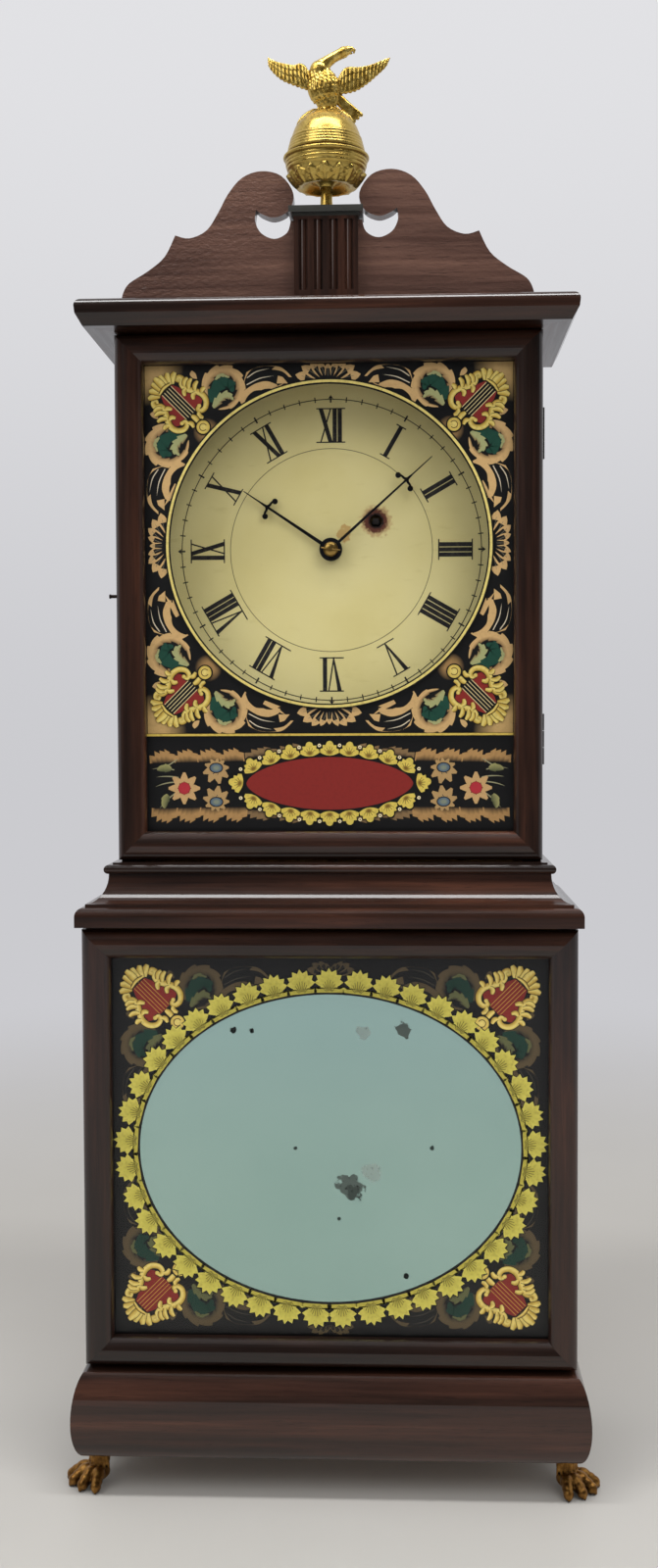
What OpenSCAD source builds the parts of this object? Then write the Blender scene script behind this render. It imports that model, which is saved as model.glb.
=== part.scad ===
// Weight-driven shelf clock with a scrolled top, a painted door and an oval mirror below.
// Millimetres. X to the right, Z up, the front faces -Y. The origin is on the ground under the case.

/* [Case] */
// Width of the lower case and of the mirror frame
lower_w = 318; // [300:1:400]
// Height of the mirror frame
lower_h = 284; // [230:1:360]
// Depth from the back to the front of the mirror frame
lower_d = 150; // [145:1:190]
// Height of the door
upper_h = 340; // [325:1:420]
// Step back from the mirror frame to the door, and in from its sides
setback = 21; // [16:1:24]
// Thickness of the case boards
board_t = 12; // [9:0.5:15]
// Thickness of the backboard
back_t = 8; // [5:0.5:9]
// Gap between a frame and the moulding above or below it
reveal = 1; // [0.6:0.1:2]
// Gap under the mirror frame
base_reveal = 3; // [1:0.5:4]

/* [Mouldings] */
// Height of the base moulding
base_h = 55; // [45:1:70]
// How far the base moulding swells past the case
base_bulge = 8; // [6:0.5:14]
// Height of the middle moulding
mid_h = 40; // [34:1:48]
// How far the middle moulding stands past the mirror frame
mid_lip = 3; // [1:0.5:6]
// Thickness of the cornice
cornice_h = 17; // [14:0.5:22]
// How far the cornice stands past the door
cornice_out = 21; // [15:0.5:26]
// Glue line at a mitre
mitre_gap = 0.06; // [0.04:0.01:0.1]

/* [Frames] */
// Width of a frame member
member_w = 18.6; // [15:0.2:24]
// Rise of the half-round on a member
member_rise = 7; // [4:0.5:9]
// Thickness of the mirror frame
frame_t = 20; // [18:0.5:24]
// Thickness of the door
door_t = 18; // [17:0.5:22]
// Width of the rebate that holds the glass
rebate = 5; // [4:0.5:7]
// Thickness of the wood in front of the glass
sight_lip = 3; // [2:0.5:4]
// Thickness of the glass
glass_t = 2.5; // [2:0.1:3]
// Clearance of the glass in its rebate
glass_fit = 0.5; // [0.3:0.1:1]
// Section of the strips that hold the door glass
bead = 4.5; // [3:0.5:5]
// Thickness of the board behind the mirror
backing_t = 4; // [3:0.5:5]
// Gap behind a frame
seat_gap = 0.4; // [0.3:0.1:0.6]
// Radius of a peg that locates the mirror frame
peg_r = 2.5; // [2:0.1:3]
// Length of a peg that stands out of the frame
peg_l = 13; // [10:1:16]
// Radial clearance of a running fit
run_fit = 0.05; // [0.03:0.01:0.09]

/* [Feet] */
// Height of a foot
foot_h = 28; // [22:1:32]
// Reach of the toes past the side of the case
toe_out = 17.4; // [15:0.2:20]
// Distance of the ankle inside the side of the case
ankle_in = 6.2; // [5:0.2:8]
// Distance of the front ankles behind the mirror frame's face
ankle_back = 26; // [20:1:32]
// Radius of a toe
toe_r = 4.6; // [4:0.1:5.5]

/* [Hinges and hook] */
// Height of a hinge
hinge_h = 33; // [26:1:40]
// Upper hinge centre, below the top of the door
hinge_top = 64; // [45:1:90]
// Lower hinge centre, above the bottom of the door
hinge_low = 78; // [45:1:100]
// Radius of a hinge knuckle
knuckle_r = 1.9; // [1.7:0.1:2.4]
// Radius of a hinge pin
pin_r = 0.8; // [0.6:0.1:1]
// Thickness of a hinge leaf
leaf_t = 1.2; // [1:0.1:1.5]
// Width of a hinge leaf
leaf_w = 9; // [7:0.5:10]
// Height of the hook above the bottom of the door
hook_z = 172; // [120:1:220]
// Radius of the pin on the door's edge
hook_pin_r = 1.1; // [0.9:0.1:1.4]
// Length of that pin
hook_pin_l = 5; // [4:0.5:6]
// Thickness of the hook
hook_t = 1.2; // [1:0.1:1.4]

/* [Pediment and plinth] */
// Foot of the pediment inside the door's side
scroll_in = 6.3; // [4:0.1:20]
// Height of the scrolls
scroll_h = 82.5; // [70:0.5:95]
// Thickness of the pediment
scroll_t = 11; // [9:0.5:14]
// Width of the plinth
plinth_w = 40.5; // [34:0.5:48]
// Height of the plinth
plinth_h = 51; // [44:1:60]
// Thickness of the plinth in front of the pediment
plinth_t = 10; // [8:0.5:13]
// Number of flutes
flutes = 4; // [3:1:6]
// How far the cap stands past the plinth
cap_lip = 3.25; // [2:0.25:5]
// Thickness of the plinth cap
cap_t = 6; // [5:0.5:8]

/* [Finial] */
// Radius of the ball
ball_r = 25.6; // [21:0.2:31]
// How far the rim stands out of the ball
rim_out = 1.8; // [1:0.1:3]
// Height of the stem under the ball
stem_h = 16.9; // [14:0.1:22]
// Radius of the stem
stem_r = 3.7; // [3.2:0.1:5]
// Number of leaves round the ball
leaves = 8; // [6:1:10]
// Span of the eagle's wings
eagle_span = 79; // [64:1:96]

/* [Dial and hands] */
// Space between the top board and the dial plate
dial_head = 12; // [6:1:20]
// Space between the dial plate and each side board
dial_side = 14; // [8:1:20]
// Thickness of the dial plate
dial_t = 1.2; // [1:0.1:1.6]
// Space between the movement and the back of the dial
dial_gap = 13; // [12:0.5:16]
// Space between the dial and the hour hand
hand_gap = 4; // [3:0.1:6]
// Length of the minute hand
minute_l = 91; // [75:1:100]
// Length of the hour hand
hour_l = 70.5; // [58:0.5:85]
// Radius of the hands' boss
boss_r = 7.6; // [6.2:0.1:9.2]
// Thickness of a hand
hand_t = 0.9; // [0.6:0.1:1.2]
// Minute shown
minute_shown = 8; // [0:1:59]
// Hour shown
hour_shown = 10; // [1:1:12]

/* [Movement] */
// Thickness of a plate
plate_t = 2.5; // [2:0.1:3]
// Distance between the plates
plate_gap = 30; // [29:0.5:36]
// Space between the middle of the pendulum rod and the movement
rod_gap = 10.5; // [10:0.5:14]
// Radius of a pillar
pillar_r = 3; // [2.5:0.1:4]
// Radius of an arbor
arbor_r = 0.95; // [0.9:0.05:1.15]
// Radius of the centre arbor
centre_r = 1.3; // [1.2:0.05:1.55]
// Radius of a pivot
pivot_r = 0.8; // [0.65:0.05:0.9]
// Radius of the drum
drum_r = 8; // [6.6:0.1:9.6]
// Length of the drum
drum_l = 19; // [16:0.5:22]
// Side of the winding square
square_w = 4; // [3.4:0.1:4.8]
// Gap between the pallets and the escape wheel at mid swing
pallet_gap = 1.2; // [1:0.1:1.5]

/* [Pendulum and weight] */
// Pendulum length from its bend to the middle of the bob
pendulum_l = 442; // [370:1:530]
// Radius of the bob
bob_r = 42; // [34:1:50]
// Thickness of the bob
bob_t = 13; // [10:0.5:16]
// Space between the bob and the backboard
bob_gap = 3; // [2:0.5:5]
// Radius of the rod
rod_r = 1.5; // [1.2:0.1:1.8]
// Width of the weight
weight_w = 66; // [54:1:80]
// Height of the weight
weight_h = 92; // [76:1:112]
// Thickness of the weight
weight_t = 30; // [24:1:36]
// Height of the weight's underside above the bottom board
weight_rest = 18; // [12:1:30]
// Radius of the cord
cord_r = 0.9; // [0.7:0.1:1.1]
// Radius of the pulley at the bottom of its groove
pulley_r = 11; // [9:0.5:13.5]
// Gap between the cord and what it runs on
cord_gap = 0.12; // [0.1:0.01:0.2]

/* [Hidden] */
$fn = 64;
eps = 0.01;

// Widths and depths that follow from the driving sizes
upper_w = lower_w - 2 * setback;
upper_d = lower_d - setback;
half_l = lower_w / 2;
half_u = upper_w / 2;
carcass_l = lower_d - frame_t - seat_gap;
carcass_u = upper_d - door_t - seat_gap;
total_d = lower_d + toe_out;
back_y = total_d / 2;
function fy(d) = back_y - d;

// Heights that follow
base_top = foot_h + base_h;
frame_z = base_top + base_reveal;
frame_top = frame_z + lower_h;
mid_z = frame_top + 2 * reveal;
door_z = mid_z + mid_h + reveal;
door_top = door_z + upper_h;
cornice_z = door_top + reveal;
cornice_top = cornice_z + cornice_h;
floor_t = board_t;
floor_z = foot_h + floor_t / 4;
floor_top = floor_z + floor_t;
shelf_z = mid_z - board_t;
dial_w = 2 * (half_u - board_t - dial_side);
dial_z = cornice_z - board_t - dial_head - dial_w / 2;

// Depths in front of the back of the case, from the pendulum to the hands
rod_d = back_t + bob_gap + bob_t / 2;
plate_d = rod_d + rod_gap;
back_in = plate_d + plate_t;
front_in = back_in + plate_gap;
front_out = front_in + plate_t;
dial_back = front_out + dial_gap;
dial_d = dial_back + dial_t;
wheel_t = 1.6;
great_t = 2.5;
pallet_t = 4;
great_d = back_in + 1;
drum_d = great_d + great_t + 0.4;
centre_d = front_in - 4.5;
third_d = back_in + 9.5;
escape_d = back_in + 18.5;
pallet_d = escape_d - (pallet_t - wheel_t) / 2;
cannon_d = front_out + 1;
minute_wheel_d = cannon_d + 0.2;
minute_pinion_d = minute_wheel_d + wheel_t;
hour_wheel_d = minute_pinion_d + 0.6;
hour_hand_d = dial_d + hand_gap;
minute_hand_d = hour_hand_d + 3.6;
collet_d = minute_hand_d + hand_t;

// The train: teeth and leaves, and the centre distances that their sizes follow
great_teeth = 128;
centre_leaves = 8;
centre_teeth = 72;
third_leaves = 8;
third_teeth = 80;
escape_leaves = 8;
escape_teeth = 30;
cannon_leaves = 12;
minute_teeth = 36;
minute_leaves = 12;
hour_teeth = 48;
third_dist = 24;
escape_dist = 22;
motion_dist = 12;
escape_r = 15;

// Arbor places, across and up from the dial's centre
great_at = [30, 19.4];
great_dist = norm(great_at);
escape_z = 38;
pallet_rise = 21;
third_up = (pow(third_dist, 2) - pow(escape_dist, 2) + pow(escape_z, 2)) / (2 * escape_z);
third_at = [-sqrt(pow(third_dist, 2) - pow(third_up, 2)), third_up];
escape_at = [0, escape_z];
pallet_at = [0, escape_z + pallet_rise];
motion_angle = 215;
motion_at = motion_dist * [cos(motion_angle), sin(motion_angle)];
plate_left = -36;
plate_right = 68;
plate_low = -30;
plate_high = 70;
pillar_in = 6;
seat_top = dial_z + plate_low;
seat_t = board_t;
seat_front = front_out + 3;

// Gears
great_m = 2 * great_dist / (great_teeth + centre_leaves);
centre_m = 2 * third_dist / (centre_teeth + third_leaves);
third_m = 2 * escape_dist / (third_teeth + escape_leaves);
cannon_m = 2 * motion_dist / (cannon_leaves + minute_teeth);
hour_m = 2 * motion_dist / (minute_leaves + hour_teeth);

// Radius of the winding arbor, which holds the square inside it
great_bore = square_w / sqrt(2) + 0.17;

// Pendulum, weight and cord
pivot_z = dial_z + pallet_at[1];
bob_z = pivot_z - pendulum_l;
drum_x = great_at[0];
drum_z = dial_z + great_at[1];
cord_mid = cord_r + cord_gap;
fall_x = drum_x - drum_r - cord_mid;
anchor_x = fall_x + 2 * (pulley_r + cord_mid);
weight_x = (fall_x + anchor_x) / 2;
cord_d = drum_d + 1.5 + drum_l / 2;
weight_z = floor_top + weight_rest;
pulley_z = weight_z + weight_h + 30;
pulley_w = 7;

wood = "#4a2418";
inner_wood = "#8a6f4d";
brass = "#b9973f";
bronze = "#4b3826";
iron = "#3a3a3c";
steel = "#8d9095";

// Helpers

// A board between two x, two depths and two heights
module slab(x0, x1, d0, d1, z0, z1) {
    translate([x0, fy(d1), z0]) cube([x1 - x0, d1 - d0, z1 - z0]);
}

// A shape drawn across and up, made solid from depth d forward by t
module plate2d(d, t) {
    translate([0, fy(d), 0]) rotate([90, 0, 0]) linear_extrude(t) children();
}

// The same with its middle at an arbor place of the movement
module at_dial(at, d, t) {
    translate([at[0], fy(d), dial_z + at[1]]) rotate([90, 0, 0]) linear_extrude(t) children();
}

// A round bar that runs forward from depth d
module bar(at, d, l, r) {
    translate([at[0], fy(d), dial_z + at[1]]) rotate([90, 0, 0]) cylinder(h = l, r = r);
}

// A shape drawn as outward and up, run along X
module run_x(l) {
    rotate([90, 0, 90]) linear_extrude(l) mirror([1, 0]) children();
}

function arc(cx, cy, rx, ry, a0, a1, n) =
    [for (i = [0:n]) let (a = a0 + (a1 - a0) * i / n) [cx + rx * cos(a), cy + ry * sin(a)]];

function spline_point(a, b, c, d, t) =
    0.5 * (2 * b + (c - a) * t + (2 * a - 5 * b + 4 * c - d) * t * t
        + (3 * b - a - 3 * c + d) * t * t * t);

// A smooth curve through the points p, n steps between two of them
function curve(p, n) = concat(
    [for (i = [0:len(p) - 2]) let (
        a = p[max(i - 1, 0)], b = p[i], c = p[i + 1], d = p[min(i + 2, len(p) - 1)])
        for (k = [0:n - 1]) spline_point(a, b, c, d, k / n)],
    [p[len(p) - 1]]);

function flip(p) = [for (i = [len(p) - 1:-1:0]) [-p[i][0], p[i][1]]];

// A strip of changing width along a curve
function ribbon(p, w) = let (n = len(p) - 1) concat(
    [for (i = [0:n]) let (v = p[min(i + 1, n)] - p[max(i - 1, 0)], u = v / norm(v))
        p[i] - w[i] / 2 * [-u[1], u[0]]],
    [for (i = [n:-1:0]) let (v = p[min(i + 1, n)] - p[max(i - 1, 0)], u = v / norm(v))
        p[i] + w[i] / 2 * [-u[1], u[0]]]);

// Three mitred lengths of one profile round the front and the sides of a case
module mitred_set(half_w, front_d, out, inner, z, h) {
    over = 2 * out;
    intersection() {
        translate([-half_w - over, fy(front_d), z]) run_x(2 * (half_w + over)) children();
        translate([0, 0, z - 1]) linear_extrude(h + 2) polygon([
            [-half_w + mitre_gap, fy(front_d - inner)], [-half_w + mitre_gap, fy(front_d)],
            [-half_w - out + mitre_gap, fy(front_d + out)], [half_w + out - mitre_gap, fy(front_d + out)],
            [half_w - mitre_gap, fy(front_d)], [half_w - mitre_gap, fy(front_d - inner)]]);
    }
    for (side = [0, 1]) mirror([side, 0, 0]) intersection() {
        translate([half_w, back_y, z]) rotate([90, 0, 0]) linear_extrude(front_d + over)
            intersection() {
                children();
                translate([0, -1]) square([out + 1, h + 2]);
            }
        translate([0, 0, z - 1]) linear_extrude(h + 2) polygon([
            [half_w, back_y], [half_w + out, back_y],
            [half_w + out, fy(front_d + out - mitre_gap)], [half_w, fy(front_d - mitre_gap)]]);
    }
}

// Wooden case

module backboard() {
    inner_l = half_l - board_t;
    inner_u = half_u - board_t;
    color(inner_wood) plate2d(0, back_t) polygon([
        [-inner_l, foot_h], [inner_l, foot_h], [inner_l, mid_z], [inner_u, mid_z],
        [inner_u, cornice_z], [-inner_u, cornice_z], [-inner_u, mid_z], [-inner_l, mid_z]]);
}

function peg_x() = half_l - board_t / 2;
function peg_z() = [frame_z + member_w, frame_top - member_w];

module lower_sides() {
    color(wood) for (side = [0, 1]) mirror([side, 0, 0]) difference() {
        slab(half_l - board_t, half_l, 0, carcass_l, foot_h, mid_z);
        for (z = peg_z()) translate([peg_x(), fy(carcass_l - peg_l - 1), z]) rotate([90, 0, 0])
            cylinder(h = peg_l + 2, r = peg_r + run_fit);
    }
}

function hinge_z() = [door_top - hinge_top, door_z + hinge_low];
hinge_y = fy(carcass_u + seat_gap / 2);
barrel_gap = 0.4;

// Room for the hinge barrels, turned out of the case and the door
module barrel_room() {
    for (z = hinge_z()) translate([half_u, hinge_y, z - hinge_h / 2 - barrel_gap])
        cylinder(h = hinge_h + 2 * barrel_gap, r = knuckle_r + barrel_gap);
}

module upper_sides() {
    color(wood) for (side = [0, 1]) difference() {
        mirror([side, 0, 0]) slab(half_u - board_t, half_u, 0, carcass_u, mid_z, cornice_z);
        if (side == 0) {
            barrel_room();
            for (z = hinge_z()) slab(half_u - leaf_w - run_fit, half_u + 1,
                carcass_u - leaf_t - run_fit, carcass_u + 1, z - hinge_h / 2 - run_fit, z + hinge_h / 2 + run_fit);
        }
        if (side == 1) translate([-half_u - 1, fy(hook_d), door_z + hook_z]) rotate([0, 90, 0])
            cylinder(h = board_t / 2 + 1, r = hook_screw_r);
    }
}

module bottom_board() {
    color(inner_wood) slab(-half_l + board_t, half_l - board_t, back_t, carcass_l, floor_z, floor_top);
}

// The way down for the pendulum and the weight
way_w = 2 * (half_u - board_t - 22);
way_d0 = back_t + 1;
way_d1 = seat_front + 2;

module mid_board() {
    color(inner_wood) difference() {
        slab(-half_l + board_t, half_l - board_t, back_t, carcass_l, shelf_z, mid_z);
        slab(-way_w / 2, way_w / 2, way_d0, way_d1, shelf_z - 1, mid_z + 1);
    }
}

module top_board() {
    color(inner_wood) slab(-half_u + board_t, half_u - board_t, back_t, carcass_u,
        cornice_z - board_t, cornice_z);
}

// Mouldings

module base_profile() {
    widest = base_h * 0.42;
    swell = 1.4;
    step = 7.5;
    polygon(concat(
        [[-frame_t - seat_gap, 0]],
        [for (a = [-90:step:0]) [base_bulge * cos(a), widest + widest * sin(a)]],
        [for (a = [step:step:90]) [base_bulge * pow(cos(a), swell), widest + (base_h - widest) * sin(a)]],
        [[-frame_t - seat_gap, base_h]]));
}

module base_moulding() {
    color(wood) mitred_set(half_l, lower_d, base_bulge, frame_t + seat_gap, foot_h, base_h)
        base_profile();
}

module mid_profile() {
    out = setback + mid_lip;
    inner = door_t + seat_gap;
    lip_z = 7;
    ovolo_in = 5;
    ovolo_h = 5.5;
    cove_in = 4.7;
    cove_z = lip_z + ovolo_h + 2;
    bead_r = 3;
    bead_z = mid_h - 4.2;
    fillet = 2.5;
    cove_out = out - ovolo_in - 1;
    polygon(concat(
        [[-inner, 0], [out, 0]],
        arc(out - ovolo_in, lip_z, ovolo_in, ovolo_h, 0, 90, 6),
        [[cove_out, lip_z + ovolo_h]],
        arc(cove_out, bead_z - bead_r, cove_out - cove_in, bead_z - bead_r - cove_z, 270, 180, 10),
        arc(cove_in, bead_z, bead_r, bead_r, -90, 90, 8),
        [[fillet, bead_z + bead_r], [fillet, mid_h], [-inner, mid_h]]));
}

module mid_moulding() {
    color(wood) mitred_set(half_u, upper_d, setback + mid_lip, door_t + seat_gap, mid_z, mid_h)
        mid_profile();
}

module cornice_profile() {
    inner = door_t + seat_gap;
    nose = 5;
    cant = 4.7;
    cant_z = cornice_h / 2;
    polygon(concat(
        [[-inner, 0], [cornice_out - cant, 0], [cornice_out - 0.5, cant_z - 1]],
        arc(cornice_out - nose, cornice_h - nose, nose, nose, 0, 90, 8),
        [[-inner, cornice_h]]));
}

module cornice() {
    color(wood) mitred_set(half_u, upper_d, cornice_out, door_t + seat_gap, cornice_z, cornice_h)
        cornice_profile();
}

// Feet

// One paw, ankle at the origin, toes fanned about +X and +Y
module paw() {
    reach = toe_out + ankle_in;
    leg_r = 6.6;
    toes = 4;
    intersection() {
        union() {
            rotate_extrude($fn = 24) polygon(concat(
                [[0, 0], [leg_r + 3, 0]],
                curve([[leg_r + 3.2, 3], [leg_r + 1.2, 8.5], [leg_r - 0.2, 15], [leg_r + 2, foot_h]], 2),
                [[0, foot_h]]));
            for (i = [0:toes - 1]) rotate(5 + 80 * i / (toes - 1)) hull($fn = 12) {
                translate([reach - 11, 0, 10]) sphere(toe_r + 0.6);
                translate([reach - toe_r, 0, toe_r - 0.4]) sphere(toe_r);
            }
        }
        translate([-reach, -reach, 0]) cube([2 * reach, 2 * reach, foot_h]);
    }
}

// Two feet at the depth d, the toes turned forward or back
module feet(d, turned) {
    color(bronze) for (side = [0, 1]) mirror([side, 0, 0])
        translate([half_l - ankle_in, fy(d), 0]) mirror([0, turned, 0]) paw();
}

module front_feet() feet(lower_d - ankle_back, 1);
module rear_feet() feet(toe_out + ankle_in + 2, 0);

// Pediment

scroll_d = upper_d + 1;
scroll_w = half_u - scroll_in;
cap_w = plinth_w + 2 * cap_lip;
neck = cap_w / 2 - 0.8;

// The outline's points lie between the neck at 0 and the foot at 1, and the scroll's top is at 1
function scroll_at(p) = [for (q = p) [neck + (scroll_w - neck) * q[0], scroll_h * q[1]]];

// One half of the outline: the foot, the low scroll, the high scroll, and the cut by the plinth
function scroll_half() = concat(
    curve(scroll_at([[1, 0], [0.993, 0.073], [0.954, 0.158], [0.844, 0.248], [0.743, 0.358],
        [0.68, 0.521]]), 4),
    curve(scroll_at([[0.68, 0.521], [0.596, 0.497], [0.495, 0.555], [0.425, 0.691],
        [0.367, 0.83], [0.284, 0.952], [0.172, 1], [0.055, 0.961], [-0.016, 0.824],
        [0.012, 0.697], [0.095, 0.645], [0.168, 0.672], [0.204, 0.707]]), 4),
    curve(concat(scroll_at([[0.204, 0.707], [0.209, 0.618], [0.174, 0.527], [0.096, 0.482], [0.023, 0.527]]),
        [[neck, plinth_h]]), 4));

module pediment() {
    half = scroll_half();
    color(wood) translate([0, 0, cornice_top]) plate2d(scroll_d - scroll_t, scroll_t)
        polygon(concat(half, flip(half)));
}

module plinth() {
    pitch = (plinth_w - 2) / flutes;
    flute_w = 0.6 * pitch;
    flute_d = 2;
    color(wood) difference() {
        slab(-plinth_w / 2, plinth_w / 2, scroll_d, scroll_d + plinth_t, cornice_top, cornice_top + plinth_h);
        for (i = [0:flutes - 1]) translate([(i + 0.5 - flutes / 2) * pitch, fy(scroll_d + plinth_t + 1), cornice_top])
            difference() {
                translate([-flute_w / 2, -1, 5]) cube([flute_w, flute_d + 2, plinth_h - 7]);
                translate([0, flute_d + 1.6, 0]) cylinder(h = plinth_h, r = 0.34 * flute_w);
            }
    }
}

module plinth_cap() {
    lip = 2.5;
    bed = 2;
    d0 = scroll_d - scroll_t - lip;
    d1 = scroll_d + plinth_t + lip;
    z = cornice_top + plinth_h;
    color(wood) difference() {
        union() {
            slab(-cap_w / 2, cap_w / 2, d0, d1, z + bed, z + cap_t);
            slab(-cap_w / 2 + lip, cap_w / 2 - lip, d0 + lip, d1 - lip, z, z + bed);
        }
        translate([0, fy(cap_mid), z + 1]) cylinder(h = cap_t, r = stem_tenon + run_fit);
    }
}

// Finial

cap_mid = scroll_d + (plinth_t - scroll_t) / 2;
cap_top = cornice_top + plinth_h + cap_t;
stem_tenon = 2.5;
ball_cut = 6;
ball_z = stem_h - ball_cut + ball_r;
rim_r = ball_r + rim_out;

module finial_stem() {
    color(brass) translate([0, fy(cap_mid), cap_top]) rotate_extrude() polygon(concat(
        [[0, -cap_t + 2], [stem_tenon, -cap_t + 2], [stem_tenon, 0]],
        curve([[stem_r + 1.2, 0], [stem_r + 0.2, 4], [stem_r, stem_h - 4], [stem_r + 0.6, stem_h]], 3),
        [[stem_tenon, stem_h], [stem_tenon, stem_h + ball_cut], [0, stem_h + ball_cut]]));
}

function ball_at(a, r) = [r * cos(a), ball_z + r * sin(a)];
perch_r = 5.8;
perch_z = ball_z + ball_r + 0.3;

// A hollow ball of two spun halves with bands, a rim between them and leaves below
module finial_ball() {
    wall = 1.4;
    low = -asin((ball_z - stem_h) / ball_r);
    low_in = asin((ball_z - stem_h - wall) / (ball_r - wall));
    steps = 24;
    band = 0.5;
    color(brass) translate([0, fy(cap_mid), cap_top]) {
        rotate_extrude() polygon(concat(
            [[stem_tenon + run_fit, stem_h]],
            [for (a = [low:4:-20]) ball_at(a, ball_r)],
            [for (a = [-18, -14, -12, -8]) ball_at(a, ball_r + (a == -14 || a == -8 ? 0 : band))],
            [[rim_r - 1, ball_z - 2.6], [rim_r, ball_z - 1.6], [rim_r, ball_z - 0.4], [rim_r - 1.4, ball_z + 1.4]],
            [for (a = [5:3:14]) ball_at(a, ball_r)],
            [for (a = [16, 19, 22, 25]) ball_at(a, ball_r + (a == 19 || a == 25 ? 0 : band))],
            [for (a = [28:4:76]) ball_at(a, ball_r)],
            [[perch_r, perch_z], [0, perch_z]],
            [for (i = [0:steps]) ball_at(90 - (90 + low_in) * i / steps, ball_r - wall)],
            [[stem_tenon + run_fit, stem_h + wall]]));
        for (i = [0:leaves - 1]) rotate(360 * (i + 0.15) / leaves) rotate_extrude(angle = 250 / leaves)
            polygon(concat(
                [for (a = [-58:6:-22]) ball_at(a, ball_r + 1.1)],
                [for (a = [-22:-6:-58]) ball_at(a, ball_r - 0.2)]));
    }
}

module wing(points, tilt) {
    rotate([0, 0, tilt]) translate([0, 1.1, 0]) rotate([90, 0, 0]) linear_extrude(2.2) polygon(points);
}

// Drawn 79 across with its feet at the origin, then brought to its span
module eagle() {
    drawn_span = 79;
    leg_r = 1.6;
    color(brass) translate([0, fy(cap_mid), cap_top + perch_z]) scale(eagle_span / drawn_span) {
        hull($fn = 16) {
            translate([-1, 0, 16.6]) sphere(7);
            translate([-3, 0, 23.6]) sphere(7.2);
        }
        hull($fn = 14) {
            translate([0, -1, 25.6]) sphere(6);
            translate([8, -2, 33.6]) sphere(3);
        }
        hull($fn = 12) {
            translate([8, -2, 33.6]) sphere(3);
            translate([13.5, -3, 38.6]) sphere(2.9);
        }
        hull($fn = 10) {
            translate([13.5, -3, 38.6]) sphere(2.7);
            translate([18.5, -4, 37.1]) sphere(0.9);
        }
        hull($fn = 12) {
            translate([3, 0, 15.6]) sphere(5);
            translate([20, 5, -3.4]) sphere(2);
        }
        for (x = [-3.6, 3.2]) translate([x, 0, 0]) cylinder(h = 12, r = leg_r);
        cylinder(h = 1.2, r = perch_r);
        translate([0, 0, 16.6]) {
            wing([[-37.7, 21.3], [-37, 17.6], [-34, 12.6], [-27, 6.3], [-20.2, 2], [-6, 0], [-6, 9.5],
                [-14, 12.6], [-20.2, 15.7], [-27.7, 16.3]], -6);
            wing([[41.3, 19.1], [35.3, 16.6], [21.6, 13.4], [15.2, 12.3], [10, 8.8], [3, 7], [3, -2.7],
                [18.8, -1.3], [28.1, 3.7], [35.3, 10.2]], 6);
        }
    }
}

// Frames

// Section of a member, across from its outer edge and forward from its back
module member_profile(t) {
    polygon(concat(
        [[0, 0]],
        arc(member_w / 2, t - member_rise, member_w / 2, member_rise, 180, 0, 16),
        [[member_w, t - member_rise - sight_lip], [member_w - rebate, t - member_rise - sight_lip],
            [member_w - rebate, 0]]));
}

module lying_member(half_w, back_d, t, z) {
    intersection() {
        translate([-half_w, fy(back_d), z]) rotate([90, 0, 90]) linear_extrude(2 * half_w)
            rotate(90) member_profile(t);
        plate2d(back_d - 1, t + 2) polygon([
            [-half_w, z], [half_w, z], [half_w - member_w, z + member_w], [-half_w + member_w, z + member_w]]);
    }
}

module standing_member(half_w, back_d, t, z0, z1) {
    intersection() {
        translate([-half_w, fy(back_d), z0]) linear_extrude(z1 - z0) mirror([0, 1]) member_profile(t);
        plate2d(back_d - 1, t + 2) polygon([
            [-half_w, z0], [-half_w + member_w, z0 + member_w], [-half_w + member_w, z1 - member_w],
            [-half_w, z1]]);
    }
}

module upside_down(z) {
    translate([0, 0, z]) mirror([0, 0, 1]) children();
}

frame_back = lower_d - frame_t;
module frame_bottom_rail() color(wood) lying_member(half_l, frame_back, frame_t, frame_z);
module frame_top_rail() color(wood) upside_down(frame_top) lying_member(half_l, frame_back, frame_t, 0);
module frame_left_stile() color(wood) difference() {
    standing_member(half_l, frame_back, frame_t, frame_z, frame_top);
    peg_sockets(-1);
}
module frame_right_stile() color(wood) difference() {
    mirror([1, 0, 0]) standing_member(half_l, frame_back, frame_t, frame_z, frame_top);
    peg_sockets(1);
}

peg_in = 6;
module peg_sockets(side) {
    for (z = peg_z()) translate([side * peg_x(), fy(frame_back - 1), z]) rotate([90, 0, 0])
        cylinder(h = peg_in + 1, r = peg_r);
}

module frame_pegs() {
    color(inner_wood) for (side = [-1, 1], z = peg_z())
        translate([side * peg_x(), fy(frame_back - peg_l), z]) rotate([90, 0, 0])
            cylinder(h = peg_l + peg_in, r = peg_r);
}

// A sheet in the rebate of a frame
module rebated(half_w, z0, z1, d0, t) {
    in = member_w - rebate + glass_fit;
    slab(-half_w + in, half_w - in, d0, d0 + t, z0 + in, z1 - in);
}

mirror_front = lower_d - member_rise - sight_lip;
door_glass_front = upper_d - member_rise - sight_lip;

module mirror_tablet() {
    color("#8fada8") rebated(half_l, frame_z, frame_top, mirror_front - glass_t, glass_t);
}

module mirror_backing() {
    color(inner_wood) rebated(half_l, frame_z, frame_top, mirror_front - glass_t - backing_t, backing_t);
}

door_back = upper_d - door_t;
module door_bottom_rail() color(wood) lying_member(half_u, door_back, door_t, door_z);
module door_top_rail() color(wood) upside_down(door_top) lying_member(half_u, door_back, door_t, 0);

module door_left_stile() color(wood) difference() {
    standing_member(half_u, door_back, door_t, door_z, door_top);
    translate([-half_u - 1, fy(hook_pin_d), door_z + hook_z]) rotate([0, 90, 0])
        cylinder(h = hook_pin_in + 1, r = hook_pin_r);
}

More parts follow.
